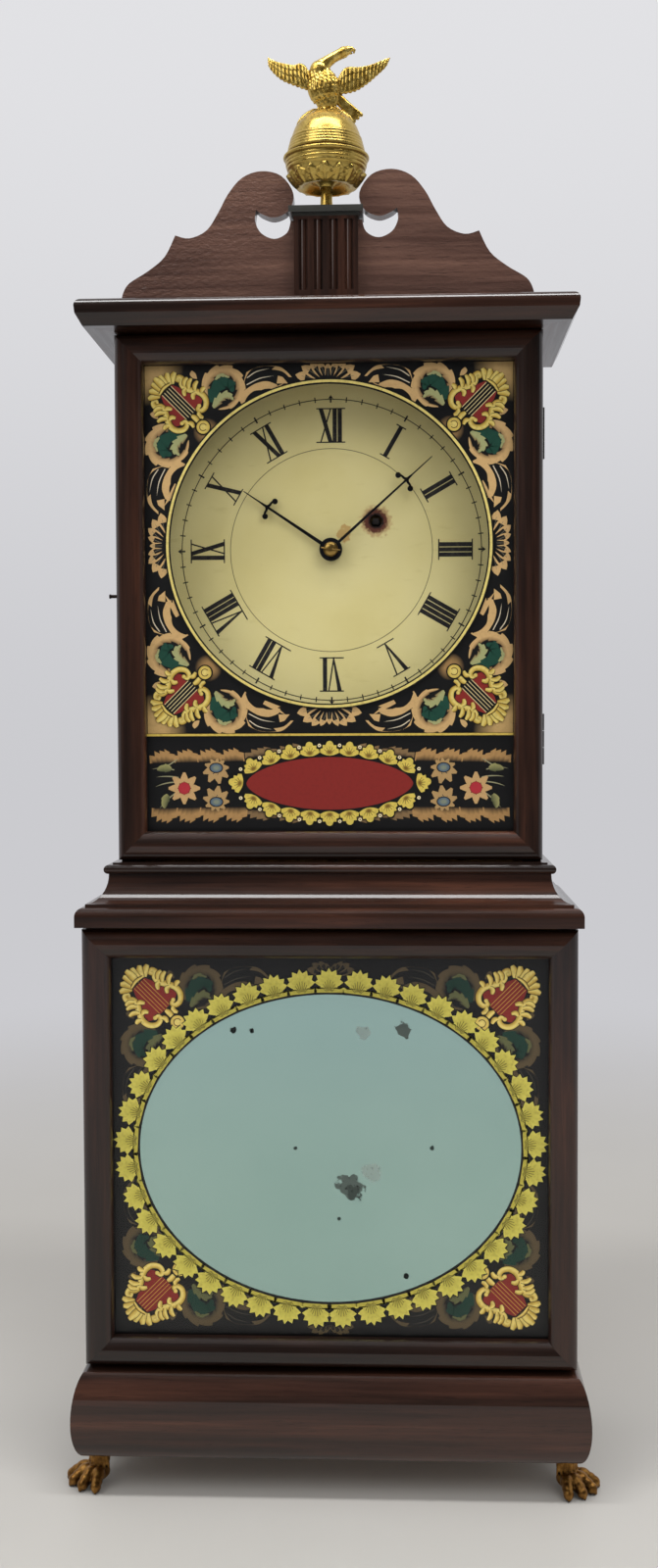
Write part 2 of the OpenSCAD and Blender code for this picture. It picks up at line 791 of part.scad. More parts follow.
module door_right_stile() color(wood) difference() {
    mirror([1, 0, 0]) standing_member(half_u, door_back, door_t, door_z, door_top);
    barrel_room();
    for (z = hinge_z()) slab(half_u - leaf_w - run_fit, half_u + 1, door_back - 1,
        door_back + leaf_t + run_fit, z - hinge_h / 2 - run_fit, z + hinge_h / 2 + run_fit);
}

module dial_tablet() {
    color("#6d7355") rebated(half_u, door_z, door_top, door_glass_front - glass_t, glass_t);
}

module glazing_strips() {
    in = member_w - rebate + glass_fit;
    x = half_u - in;
    z0 = door_z + in;
    z1 = door_top - in;
    d1 = door_glass_front - glass_t;
    d0 = d1 - bead;
    color(inner_wood) {
        for (z = [z0, z1 - bead]) slab(-x, x, d0, d1, z, z + bead);
        for (side = [0, 1]) mirror([side, 0, 0])
            slab(x - bead, x, d0, d1, z0 + bead + mitre_gap, z1 - bead - mitre_gap);
    }
}

// Hinges

module knuckle(z0, z1) {
    translate([half_u, hinge_y, z0]) cylinder(h = z1 - z0, r = knuckle_r);
}

module pin_hole() {
    for (z = hinge_z()) translate([half_u, hinge_y, z - hinge_h / 2 - 1])
        cylinder(h = hinge_h + 2, r = pin_r + run_fit);
}

// A leaf let into the wood at depths d0 to d1, joined to its knuckle between two heights
module leaf(z, d0, d1, ends) {
    clear = knuckle_r + barrel_gap / 2;
    slab(half_u - leaf_w, half_u - clear, d0, d1, z - hinge_h / 2, z + hinge_h / 2);
    for (e = ends) {
        slab(half_u - clear - 1, half_u - pin_r, d0, d1, z + e[0], z + e[1]);
        knuckle(z + e[0], z + e[1]);
    }
}

module case_hinge_leaves() {
    third = hinge_h / 3;
    color(iron) difference() {
        for (z = hinge_z()) leaf(z, carcass_u - leaf_t, carcass_u,
            [[-hinge_h / 2, -third / 2 - 0.15], [third / 2 + 0.15, hinge_h / 2]]);
        pin_hole();
    }
}

module door_hinge_leaves() {
    third = hinge_h / 3;
    color(iron) difference() {
        for (z = hinge_z()) leaf(z, door_back, door_back + leaf_t, [[-third / 2 + 0.15, third / 2 - 0.15]]);
        pin_hole();
    }
}

module hinge_pins() {
    color(iron) for (z = hinge_z()) translate([half_u, hinge_y, z - hinge_h / 2])
        cylinder(h = hinge_h, r = pin_r);
}

// Hook on the left side of the case and its pin on the door's edge

hook_pin_d = door_back + 9;
hook_pin_in = 6;
hook_d = carcass_u - 12;
hook_l = hook_pin_d - hook_d;
hook_screw_r = 1.2;
hook_stand = 0.4;

module hook_pin() {
    head = 1;
    color(iron) translate([-half_u, fy(hook_pin_d), door_z + hook_z]) rotate([0, -90, 0]) {
        translate([0, 0, -hook_pin_in]) cylinder(h = hook_pin_in + hook_pin_l, r = hook_pin_r);
        translate([0, 0, hook_pin_l - head]) cylinder(h = head, r = hook_pin_r + 0.3);
    }
}

// Drawn standing up, as it rests when it is off the pin
module door_hook() {
    arm_w = 4;
    gap = hook_pin_r + 0.4;
    color(iron) translate([-half_u - hook_stand, fy(hook_d), door_z + hook_z]) {
        rotate([0, -90, 0]) linear_extrude(hook_t) difference() {
            union() {
                circle(r = 4);
                translate([0, -arm_w / 2]) square([hook_l, arm_w]);
                translate([hook_l, 0]) circle(r = gap + 1.8);
            }
            translate([hook_l, 0]) circle(r = gap);
            translate([hook_l - gap, -gap - 4]) square([2 * gap, gap + 4]);
        }
        rotate([0, 90, 0]) translate([0, 0, -hook_t - 1]) cylinder(h = 1 + eps, r = 2.4);
        rotate([0, 90, 0]) translate([0, 0, -hook_t]) cylinder(h = hook_t + hook_stand + board_t / 2, r = hook_screw_r - run_fit);
    }
}

// Dial and hands

dial_hole_r = 5.6;
wind_hole_r = great_bore + 1.2;

module dial() {
    color("#cdbf86") at_dial([0, 0], dial_back, dial_t) difference() {
        square(dial_w, center = true);
        circle(r = dial_hole_r);
        translate(great_at) circle(r = wind_hole_r);
    }
}

module dial_strips() {
    strip_w = half_u - board_t - dial_w / 2 + 8;
    strip_t = 9;
    color(inner_wood) for (side = [0, 1]) mirror([side, 0, 0])
        slab(half_u - board_t - strip_w, half_u - board_t, dial_back - strip_t, dial_back,
            dial_z - dial_w / 2 - 10, cornice_z - board_t);
}

// A hand pointing up, with a pair of scrolls back from the point at
module hand(l, at, bore, start_w) {
    ball = 1.9;
    tip_w = 0.55;
    horn = curve([[-0.4, at + 0.6], [1.6, at - 0.9], [3.6, at - 1.1], [5.4, at - 1.6]], 3);
    horn_w = [for (i = [0:len(horn) - 1]) 1.9 - 0.6 * i / (len(horn) - 1)];
    difference() {
        union() {
            circle(r = boss_r);
            polygon([[-start_w / 2, 0], [start_w / 2, 0], [start_w * 0.3, at - 4], [0.9, at + 1],
                [start_w * 0.22, at + 5], [tip_w / 2, l], [-tip_w / 2, l], [-start_w * 0.22, at + 5],
                [-0.9, at + 1], [-start_w * 0.3, at - 4]]);
            for (side = [0, 1]) mirror([side, 0]) {
                polygon(ribbon(horn, horn_w));
                translate([6, at - 2.6]) circle(r = ball, $fn = 32);
            }
        }
        circle(r = bore);
    }
}

cannon_r = 2.1;
hour_bore = cannon_r + run_fit;
hour_pipe_r = 3.2;

module minute_hand() {
    scroll_at = minute_l * 0.755;
    color("#1c1a1b") at_dial([0, 0], minute_hand_d, hand_t) rotate(-6 * minute_shown)
        hand(minute_l, scroll_at, cannon_r - 0.4, 2);
}

module hour_hand() {
    scroll_at = hour_l * 0.735;
    color("#1c1a1b") at_dial([0, 0], hour_hand_d, hand_t)
        rotate(-30 * (hour_shown + minute_shown / 60)) hand(hour_l, scroll_at, hour_pipe_r - 0.5, 2.6);
}

// A domed collet over the minute hand with a taper pin through the arbor's end
module hand_collet() {
    dome_r = 5;
    flat = 70;
    top = collet_h + cross_pin_r;
    color(brass) {
        translate([0, fy(collet_d), dial_z]) rotate([90, 0, 0]) rotate_extrude() polygon(concat(
            [[centre_end_r + run_fit, 0]], arc(0, 0, dome_r, top, 0, flat, 8),
            [[centre_end_r + run_fit, top * sin(flat)]]));
        taper_pin(cross_pin_r);
    }
}

// Wheels

// Teeth as wide at the root, the pitch line and the tip as the fractions of the pitch below
tooth_root = 0.76;
tooth_tip = 0.16;
addendum = 0.8;
dedendum = 1.2;

function gear_points(teeth, m) = let (r = teeth * m / 2, p = 360 / teeth)
    [for (i = [0:teeth - 1], k = [-1, 0, 1, 2]) let (
        w = (k == 0 || k == 1 ? tooth_tip : tooth_root) / 2 * (k > 0 ? 1 : -1), a = p * (i + w),
        q = r + m * (k == 0 || k == 1 ? addendum : -dedendum)) q * [cos(a), sin(a)]];

// A toothed wheel with arms and a bore, one tooth at the angle turn
module wheel(teeth, m, turn, bore, arms) {
    rim_in = teeth * m / 2 - dedendum * m - 3;
    hub = 4.5;
    difference() {
        rotate(turn) polygon(gear_points(teeth, m));
        circle(r = bore);
        if (arms > 0) for (i = [0:arms - 1]) rotate(turn + 360 * i / arms) polygon(concat(
            arc(0, 0, rim_in, rim_in, 8, 360 / arms - 8, 8), arc(0, 0, hub, hub, 360 / arms - 22, 22, 4)));
    }
}

// A pinion with one gap at the angle turn
module pinion(leaves, m, turn) {
    rotate(turn + 180 / leaves) polygon(gear_points(leaves, m));
}

function toward(a, b) = atan2(b[1] - a[1], b[0] - a[0]);

// An arbor between the plates with its two pivots
module arbor(at, r) {
    clear = 0.3;
    bar(at, back_in + clear, plate_gap - 2 * clear, r);
    bar(at, plate_d - 0.3, plate_gap + 2 * plate_t + 0.6, pivot_r);
}

centre_end_r = 1.1;

module centre_wheel() {
    end = collet_d + 3.6 - plate_d;
    pinion_l = great_t + 1.6;
    color(brass) at_dial([0, 0], centre_d, wheel_t)
        wheel(centre_teeth, centre_m, toward([0, 0], third_at), centre_r - 0.2, 4);
    color(steel) {
        bar([0, 0], back_in + 0.3, plate_gap - 0.6, centre_r);
        at_dial([0, 0], great_d - 0.6, pinion_l)
            pinion(centre_leaves, great_m, toward([0, 0], great_at));
        difference() {
            bar([0, 0], plate_d - 0.3, end + 0.3, centre_end_r);
            taper_pin(cross_pin_r + 0.01);
        }
    }
}

cross_pin_r = 0.5;
collet_h = 1.9;
module taper_pin(r) {
    lean = 8;
    pin_l = 13;
    translate([0, fy(collet_d + collet_h + cross_pin_r), dial_z]) rotate([0, 90 + lean, 0])
        cylinder(h = pin_l, r = r, center = true);
}

module cannon_pinion() {
    pipe = minute_hand_d + hand_t - cannon_d;
    color(brass) difference() {
        union() {
            at_dial([0, 0], cannon_d, 2) pinion(cannon_leaves, cannon_m, motion_angle);
            bar([0, 0], cannon_d, minute_hand_d - cannon_d, cannon_r);
            bar([0, 0], cannon_d, pipe, cannon_r - 0.4);
        }
        bar([0, 0], cannon_d - 1, pipe + 2, centre_end_r + 0.01);
    }
}

stud_r = 1.2;
module minute_wheel() {
    color(brass) difference() {
        union() {
            at_dial(motion_at, minute_wheel_d, wheel_t) wheel(minute_teeth, cannon_m, motion_angle + 180, stud_r + run_fit, 0);
            at_dial(motion_at, minute_wheel_d + wheel_t - 0.2, 3)
                pinion(minute_leaves, hour_m, motion_angle + 180);
        }
        bar(motion_at, minute_wheel_d - 1, 8, stud_r + run_fit);
    }
}

module hour_wheel() {
    color(brass) difference() {
        union() {
            at_dial([0, 0], hour_wheel_d, wheel_t) wheel(hour_teeth, hour_m, motion_angle, hour_bore, 0);
            bar([0, 0], hour_wheel_d, hour_hand_d - hour_wheel_d, hour_pipe_r);
            bar([0, 0], hour_wheel_d, hour_hand_d + hand_t - hour_wheel_d, hour_pipe_r - 0.5);
        }
        bar([0, 0], hour_wheel_d - 1, hour_hand_d - hour_wheel_d + 4, hour_bore);
    }
}

module third_wheel() {
    color(brass) at_dial(third_at, third_d, wheel_t)
        wheel(third_teeth, third_m, toward(third_at, escape_at), arbor_r - 0.2, 4);
    color(steel) {
        arbor(third_at, arbor_r);
        at_dial(third_at, centre_d - 1.2, 3.6) pinion(third_leaves, centre_m, toward(third_at, [0, 0]));
    }
}

module escape_wheel() {
    root = escape_r - 3.4;
    p = 360 / escape_teeth;
    color(brass) at_dial(escape_at, escape_d, wheel_t) difference() {
        polygon([for (i = [0:escape_teeth - 1], k = [0:2]) let (
            a = p * (i + [0, 0.1, 0.94][k]), q = k < 2 ? escape_r : root) q * [cos(a), sin(a)]]);
        circle(r = arbor_r - 0.2);
        for (i = [0:3]) rotate(90 * i) polygon(concat(
            arc(0, 0, root - 2.2, root - 2.2, 9, 81, 8), arc(0, 0, 4, 4, 68, 22, 4)));
    }
    color(steel) {
        arbor(escape_at, arbor_r);
        at_dial(escape_at, third_d - 1.2, 4) pinion(escape_leaves, third_m, toward(escape_at, third_at));
    }
}

// The great wheel runs on the winding arbor and carries the click
module great_wheel() {
    color(brass) at_dial(great_at, great_d, great_t)
        wheel(great_teeth, great_m, toward(great_at, [0, 0]), great_bore + run_fit, great_arms);
}

great_arms = 5;
click_r = 1.9;
click_gap = 0.3;
module click() {
    pivot = ratchet_r + click_r + 1.8;
    nose = ratchet_r + click_gap;
    color(steel) at_dial(great_at, great_d + great_t, drum_d + ratchet_t - great_d - great_t)
        rotate(toward(great_at, [0, 0]) - 360 / great_arms) union() {
            translate([pivot, 0]) circle(r = click_r);
            polygon([[pivot - click_r, 0.4], nose * [cos(33), -sin(33)],
                nose * 1.09 * [cos(28), -sin(28)], [pivot + click_r, -0.4]]);
        }
}

ratchet_r = drum_r + 1;
ratchet_t = 1.5;
ratchet_teeth = 20;
module winding_drum() {
    flange_t = 1.2;
    flange_r = drum_r + 2.2;
    tooth_h = 1.5;
    p = 360 / ratchet_teeth;
    end = dial_back - 0.4;
    color(brass) {
        at_dial(great_at, drum_d, ratchet_t) polygon([for (i = [0:ratchet_teeth - 1], k = [0, 1])
            (ratchet_r - k * tooth_h) * [cos(p * i + 2 * k), sin(p * i + 2 * k)]]);
        bar(great_at, drum_d + ratchet_t - eps, drum_l, drum_r);
        bar(great_at, drum_d + ratchet_t + drum_l - flange_t, flange_t, flange_r);
    }
    color(steel) {
        bar(great_at, great_d - 0.3, front_in - great_d, great_bore);
        bar(great_at, plate_d - 0.3, great_d - plate_d + eps, great_bore - 1);
        bar(great_at, front_in - 0.4, plate_t + 1, great_bore);
        translate([great_at[0], fy((front_out + end) / 2), dial_z + great_at[1]])
            cube([square_w, end - front_out, square_w], center = true);
    }
}

// Plates, pillars and seat

module plate_holes(front) {
    for (at = [third_at, escape_at]) translate(at) circle(r = pivot_r + run_fit);
    translate(pallet_at) circle(r = (front ? pivot_r : crutch_arbor_r) + run_fit);
    translate(great_at) circle(r = (front ? great_bore : great_bore - 1) + run_fit);
    circle(r = centre_end_r + run_fit);
    for (at = pillar_at()) translate(at) circle(r = pillar_r - 1);
}

function pillar_at() = [for (x = [plate_left + pillar_in, plate_right - pillar_in],
    y = [plate_low + pillar_in, plate_high - pillar_in]) [x, y]];

module plate_outline() {
    translate([plate_left, plate_low]) square([plate_right - plate_left, plate_high - plate_low]);
}

module front_plate() {
    stud_l = minute_pinion_d + 4 - front_out;
    color(brass) {
        at_dial([0, 0], front_in, plate_t) difference() {
            plate_outline();
            plate_holes(true);
        }
        bar(motion_at, front_out - 0.5, stud_l + 0.5, stud_r);
    }
}

module back_plate() {
    color(brass) at_dial([0, 0], plate_d, plate_t) difference() {
        plate_outline();
        plate_holes(false);
    }
}

module pillars() {
    color(brass) for (at = pillar_at()) {
        bar(at, back_in, plate_gap, pillar_r);
        bar(at, plate_d, plate_gap + 2 * plate_t, pillar_r - 1);
    }
}

module seat_board() {
    cord_slot = 5;
    color(inner_wood) difference() {
        slab(-half_u + board_t, half_u - board_t, plate_d - 3, seat_front, seat_top - seat_t, seat_top);
        slab(fall_x - cord_slot, fall_x + cord_slot, cord_d - cord_slot, cord_d + cord_slot,
            seat_top - seat_t - 1, seat_top + 1);
    }
}

// Escapement and pendulum

crutch_arbor_r = 1.5;
crutch_d = rod_d + 7;

module pallets() {
    in_r = escape_r + pallet_gap;
    out_r = in_r + 3.2;
    embrace = 62;
    crutch_l = 36;
    fork = rod_r + 0.35;
    color(steel) {
        at_dial(escape_at, pallet_d, pallet_t) difference() {
            union() {
                intersection() {
                    circle(r = out_r);
                    polygon([[0, 0], [40 * sin(embrace), 40 * cos(embrace)], [0, 60], [-40 * sin(embrace), 40 * cos(embrace)]]);
                }
                polygon([[-9, out_r - 4], [9, out_r - 4], [3, pallet_rise + 2], [-3, pallet_rise + 2]]);
                translate([0, pallet_rise]) circle(r = 4);
            }
            circle(r = in_r);
            translate([0, pallet_rise]) circle(r = arbor_r - 0.2);
        }
        bar(pallet_at, back_in + 0.3, plate_gap - 0.6, arbor_r);
        bar(pallet_at, back_in - 1, plate_gap + plate_t + 1.3, pivot_r);
        bar(pallet_at, crutch_d, back_in - crutch_d + 0.4, crutch_arbor_r);
        at_dial(pallet_at, crutch_d, 1.4) polygon([[-2.4, 0], [-1.5, crutch_arbor_r], [1.5, crutch_arbor_r],
            [2.4, 0], [1.5, -crutch_l], [-1.5, -crutch_l]]);
        for (side = [-1, 1]) translate([side * (fork + 0.6) - 0.6, fy(crutch_d + 0.5), pivot_z - crutch_l])
            cube([1.2, crutch_d - rod_d + 3, 3]);
        translate([-fork - 1.2, fy(crutch_d + 1.4), pivot_z - crutch_l]) cube([2 * fork + 2.4, 1.4, 3]);
    }
}

spring_w = 6;
spring_t = 0.4;
cock_gap = 0.45;
spring_up = 8;
cock_z = pivot_z + crutch_arbor_r + 0.7;

module suspension_cock() {
    head_w = 12;
    head_h = 8;
    d0 = rod_d - 5;
    color(brass) difference() {
        union() {
            slab(-head_w / 2, head_w / 2, d0, plate_d, cock_z, cock_z + head_h);
            slab(-head_w / 2 - 5, head_w / 2 + 5, plate_d - 2, plate_d, cock_z, dial_z + plate_high);
        }
        slab(-spring_t / 2 - cock_gap, spring_t / 2 + cock_gap, rod_d - spring_w / 2 - cock_gap,
            rod_d + spring_w / 2 + cock_gap, cock_z - 1, pivot_z + spring_up + cock_gap);
    }
}

module pendulum_rod() {
    block_h = 7;
    block_w = 5;
    spring_low = 6;
    color(steel) {
        slab(-spring_t / 2, spring_t / 2, rod_d - spring_w / 2, rod_d + spring_w / 2,
            pivot_z - spring_low - 1, pivot_z + spring_up);
        slab(-block_w / 2, block_w / 2, rod_d - spring_w / 2 - 0.5, rod_d + spring_w / 2 + 0.5,
            pivot_z - spring_low - block_h, pivot_z - spring_low);
        translate([0, fy(rod_d), bob_z - bob_r - 12]) cylinder(h = pendulum_l + bob_r + 12 - spring_low - block_h + 1, r = rod_r);
        translate([0, fy(rod_d), bob_z - bob_r - 8]) cylinder(h = 5, r = 5);
    }
}

module pendulum_bob() {
    edge = 2.2;
    color(brass) difference() {
        translate([0, fy(rod_d), bob_z]) rotate([90, 0, 0]) rotate_extrude() polygon(concat(
            [[0, -bob_t / 2]], arc(0, -edge / 2, bob_r, bob_t / 2 - edge / 2, -85, 0, 8),
            arc(0, edge / 2, bob_r, bob_t / 2 - edge / 2, 0, 85, 8), [[0, bob_t / 2]]));
        translate([0, fy(rod_d), bob_z - bob_r - 1]) cylinder(h = 2 * bob_r + 2, r = rod_r + 0.03);
    }
}

// Weight, pulley and cord

module weight() {
    chamfer = 5;
    strap = 1.6;
    strap_w = 8;
    fork = pulley_w / 2 + 0.3;
    half = weight_w / 2;
    top = weight_z + weight_h;
    color(iron) translate([weight_x, fy(cord_d - weight_t / 2), 0]) rotate([90, 0, 0])
        linear_extrude(weight_t) polygon([[-half, weight_z], [half, weight_z], [half, top - chamfer],
            [half - chamfer, top], [-half + chamfer, top], [-half, top - chamfer]]);
    color(steel) translate([weight_x, fy(cord_d), 0]) {
        for (side = [0, 1]) mirror([0, side, 0]) translate([-strap_w / 2, fork, top - 1])
            cube([strap_w, strap, pulley_z - top + 6]);
        translate([-strap_w / 2, -fork - eps, top - 1]) cube([strap_w, 2 * (fork + eps), 7]);
        translate([0, fork + strap, pulley_z]) rotate([90, 0, 0])
            cylinder(h = 2 * (fork + strap), r = pulley_pin_r);
    }
}

pulley_pin_r = 1.5;
module weight_pulley() {
    lip = pulley_r + 2.4;
    lip_t = 1;
    bore = pulley_pin_r + run_fit;
    groove = cord_r + 0.3;
    color(brass) translate([weight_x, fy(cord_d), pulley_z]) rotate([90, 0, 0]) rotate_extrude() polygon([
        [bore, -pulley_w / 2], [lip, -pulley_w / 2], [lip, -pulley_w / 2 + lip_t], [pulley_r, -groove],
        [pulley_r, groove], [lip, pulley_w / 2 - lip_t], [lip, pulley_w / 2], [bore, pulley_w / 2]]);
}

module weight_cord() {
    bend = pulley_r + cord_mid;
    color("#b9a27c") {
        translate([fall_x, fy(cord_d), pulley_z]) cylinder(h = drum_z - pulley_z, r = cord_r);
        translate([anchor_x, fy(cord_d), pulley_z]) cylinder(h = seat_top - seat_t - pulley_z, r = cord_r);
        translate([weight_x, fy(cord_d), pulley_z]) rotate([90, 0, 0]) rotate([0, 0, 180])
            rotate_extrude(angle = 180) translate([bend, 0]) circle(r = cord_r);
    }
}

backboard();
lower_sides();
upper_sides();
bottom_board();
mid_board();
top_board();
base_moulding();
mid_moulding();
cornice();
front_feet();
rear_feet();
pediment();
plinth();
plinth_cap();
finial_stem();
finial_ball();
eagle();
frame_top_rail();
frame_bottom_rail();
frame_left_stile();
frame_right_stile();
mirror_tablet();
mirror_backing();
frame_pegs();
door_top_rail();
door_bottom_rail();
door_left_stile();
door_right_stile();
dial_tablet();
glazing_strips();
door_hinge_leaves();
case_hinge_leaves();
hinge_pins();
hook_pin();
door_hook();
dial();
dial_strips();
minute_hand();
hour_hand();
hand_collet();
front_plate();
back_plate();
pillars();
seat_board();
great_wheel();
click();
winding_drum();
centre_wheel();
cannon_pinion();
minute_wheel();
hour_wheel();
third_wheel();
escape_wheel();
pallets();
suspension_cock();
pendulum_rod();
pendulum_bob();
weight();
weight_pulley();
weight_cord();
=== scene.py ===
"""Looks of the shelf clock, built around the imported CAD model. Sizes here are in millimetres until a mesh is made."""
import math

import bpy
from mathutils import Matrix, Vector
from mathutils.geometry import tessellate_polygon


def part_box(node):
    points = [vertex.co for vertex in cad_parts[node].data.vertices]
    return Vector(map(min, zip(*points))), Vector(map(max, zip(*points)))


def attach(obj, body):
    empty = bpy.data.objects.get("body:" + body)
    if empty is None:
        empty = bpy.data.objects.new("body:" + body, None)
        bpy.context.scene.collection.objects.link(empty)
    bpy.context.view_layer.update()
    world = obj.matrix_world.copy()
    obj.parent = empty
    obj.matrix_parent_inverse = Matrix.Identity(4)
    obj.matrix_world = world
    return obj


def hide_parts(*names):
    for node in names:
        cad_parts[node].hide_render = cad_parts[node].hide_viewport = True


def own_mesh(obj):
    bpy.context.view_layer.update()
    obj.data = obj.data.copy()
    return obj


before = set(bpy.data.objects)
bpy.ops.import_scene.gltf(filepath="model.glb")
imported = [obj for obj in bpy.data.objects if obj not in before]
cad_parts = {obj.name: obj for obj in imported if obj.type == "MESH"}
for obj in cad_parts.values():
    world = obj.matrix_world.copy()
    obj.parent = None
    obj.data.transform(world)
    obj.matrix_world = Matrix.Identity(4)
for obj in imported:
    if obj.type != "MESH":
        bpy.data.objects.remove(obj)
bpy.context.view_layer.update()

MM = 0.001
TAU = 2 * math.pi


def box_mm(node):
    """The lowest and highest corners of a CAD node, in millimetres."""
    return [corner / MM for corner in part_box(node)]


def rgb(red, green, blue):
    """A screen colour of 0 to 255 as the linear colour that a shader takes."""
    def linear(c):
        c /= 255
        return c / 12.92 if c <= 0.04045 else ((c + 0.055) / 1.055) ** 2.4
    return (linear(red), linear(green), linear(blue), 1)


# Camera: the photograph's own place and angle

CAMERA_AT = (47.8, -1119.8, 507.6)
CAMERA_TURN = (90 - 2.39, 0.23, 2.53)
CAMERA_LENS = 38.25

camera = bpy.data.objects.new("photo_camera", bpy.data.cameras.new("photo_camera"))
camera.data.lens = CAMERA_LENS
camera.data.sensor_width = 36
camera.data.clip_start = 0.05
camera.location = Vector(CAMERA_AT) * MM
camera.rotation_euler = [math.radians(a) for a in CAMERA_TURN]
bpy.context.scene.collection.objects.link(camera)
bpy.context.scene.camera = camera


# Node helpers

class Nodes:
    """Short calls for the nodes of a material or the world."""

    def __init__(self, tree):
        self.tree = tree

    def feed(self, socket, value):
        """Links a socket to another node's output, or sets it. None leaves it as it is."""
        if isinstance(value, bpy.types.NodeSocket):
            self.tree.links.new(value, socket)
        elif value is not None:
            socket.default_value = value

    def node(self, kind, *values, **settings):
        """A new node. values go into its first inputs in turn."""
        made = self.tree.nodes.new(kind)
        for key, value in settings.items():
            setattr(made, key, value)
        for socket, value in zip(made.inputs, values):
            self.feed(socket, value)
        return made

    def math(self, operation, *values):
        return self.node("ShaderNodeMath", *values, operation=operation).outputs[0]

    def level(self, value, low, high, to_low=0.0, to_high=1.0):
        """value between low and high, spread smoothly from to_low to to_high."""
        return self.node("ShaderNodeMapRange", value, low, high, to_low, to_high,
                         interpolation_type="SMOOTHSTEP").outputs[0]

    def mix(self, share, first, second):
        """A colour between two. The node's colours are its seventh and eighth inputs."""
        return self.node("ShaderNodeMix", share, *[None] * 5, first, second, data_type="RGBA").outputs[2]


class Shader(Nodes):
    """A material, made from its nodes."""

    def __init__(self, name, **sockets):
        self.mat = bpy.data.materials.new(name)
        self.mat.use_nodes = True
        super().__init__(self.mat.node_tree)
        self.surface = self.tree.nodes["Principled BSDF"]
        self.output = self.tree.nodes["Material Output"]
        self.set(**sockets)
        self.place = self.node("ShaderNodeTexCoord").outputs["Object"]

    def set(self, **sockets):
        """Sets the shader's own sockets: base_color=..., roughness=..."""
        for name, value in sockets.items():
            wanted = name.replace("_", " ").lower()
            self.feed(next(s for s in self.surface.inputs if s.name.lower() == wanted), value)

    def scaled(self, scale, place=None):
        """The place on the object, in metres, times scale for each axis."""
        return self.node("ShaderNodeVectorMath", place or self.place, scale, operation="MULTIPLY").outputs[0]

    def noise(self, place, scale=1.0, detail=4.0, rough=0.55, warp=0.0):
        made = self.node("ShaderNodeTexNoise", place)
        for name, value in (("Scale", scale), ("Detail", detail), ("Roughness", rough), ("Distortion", warp)):
            made.inputs[name].default_value = value
        return made.outputs["Fac"]

    def ramp(self, value, *stops):
        """Colours at places from 0 to 1 along value."""
        made = self.node("ShaderNodeValToRGB", value)
        band = made.color_ramp.elements
        while len(band) < len(stops):
            band.new(1)
        for element, (at, colour) in zip(band, stops):
            element.position = at
            element.color = colour
        return made.outputs["Color"]

    def bump(self, height, depth):
        """Bumps whose height runs over depth metres. Each call lies on the one before."""
        made = self.node("ShaderNodeBump")
        made.inputs["Strength"].default_value = 1
        made.inputs["Distance"].default_value = depth
        self.feed(made.inputs["Height"], height)
        socket = self.surface.inputs["Normal"]
        if socket.is_linked:
            self.feed(made.inputs["Normal"], socket.links[0].from_socket)
        self.feed(socket, made.outputs[0])

    def near(self, x, z, radius, ragged=0.0, grain=300.0):
        """1 within radius of a line along y through (x, z), in mm, with a ragged edge."""
        gap = self.node("ShaderNodeVectorMath", self.scaled((1, 0, 1)), (x * MM, 0, z * MM), operation="DISTANCE")
        gap = gap.outputs["Value"]
        if ragged:
            wander = self.math("MULTIPLY_ADD", self.noise(self.place, grain, 5), 2 * ragged * MM, -ragged * MM)
            gap = self.math("ADD", gap, wander)
        return self.level(gap, radius * MM * 0.85, radius * MM * 1.1, 1, 0)


# Materials

MAHOGANY = (rgb(17, 10, 8), rgb(30, 17, 12), rgb(50, 28, 19), rgb(74, 42, 28))
BASE_WOOD = (rgb(22, 14, 11), rgb(40, 25, 19), rgb(60, 36, 27), rgb(82, 50, 36))
PALE_WOOD = (rgb(42, 28, 24), rgb(68, 47, 40), rgb(92, 66, 56), rgb(112, 82, 68))
PINE = (rgb(104, 74, 44), rgb(140, 103, 64), rgb(166, 128, 84), rgb(184, 148, 102))
COAT_GLOSS = {"specular_ior_level": 0.12, "coat_roughness": 0.085, "coat_ior": 1.52}


def grain_place(s, along, mitre):
    """The place with the grain's own axis first. Past a mitre the grain turns from x to y."""
    x, y, z = s.node("ShaderNodeSeparateXYZ", s.place).outputs
    if mitre is not None:
        side = s.math("GREATER_THAN", s.math("ADD", s.math("ABSOLUTE", x), y), mitre * MM)
        front = s.math("SUBTRACT", 1.0, side)

        def turned(here, there):
            return s.math("ADD", s.math("MULTIPLY", here, front), s.math("MULTIPLY", there, side))
        return s.node("ShaderNodeCombineXYZ", turned(x, y), turned(y, x), z).outputs[0]
    order = {"x": (x, y, z), "y": (y, x, z), "z": (z, x, y)}[along]
    return s.node("ShaderNodeCombineXYZ", *order).outputs[0]


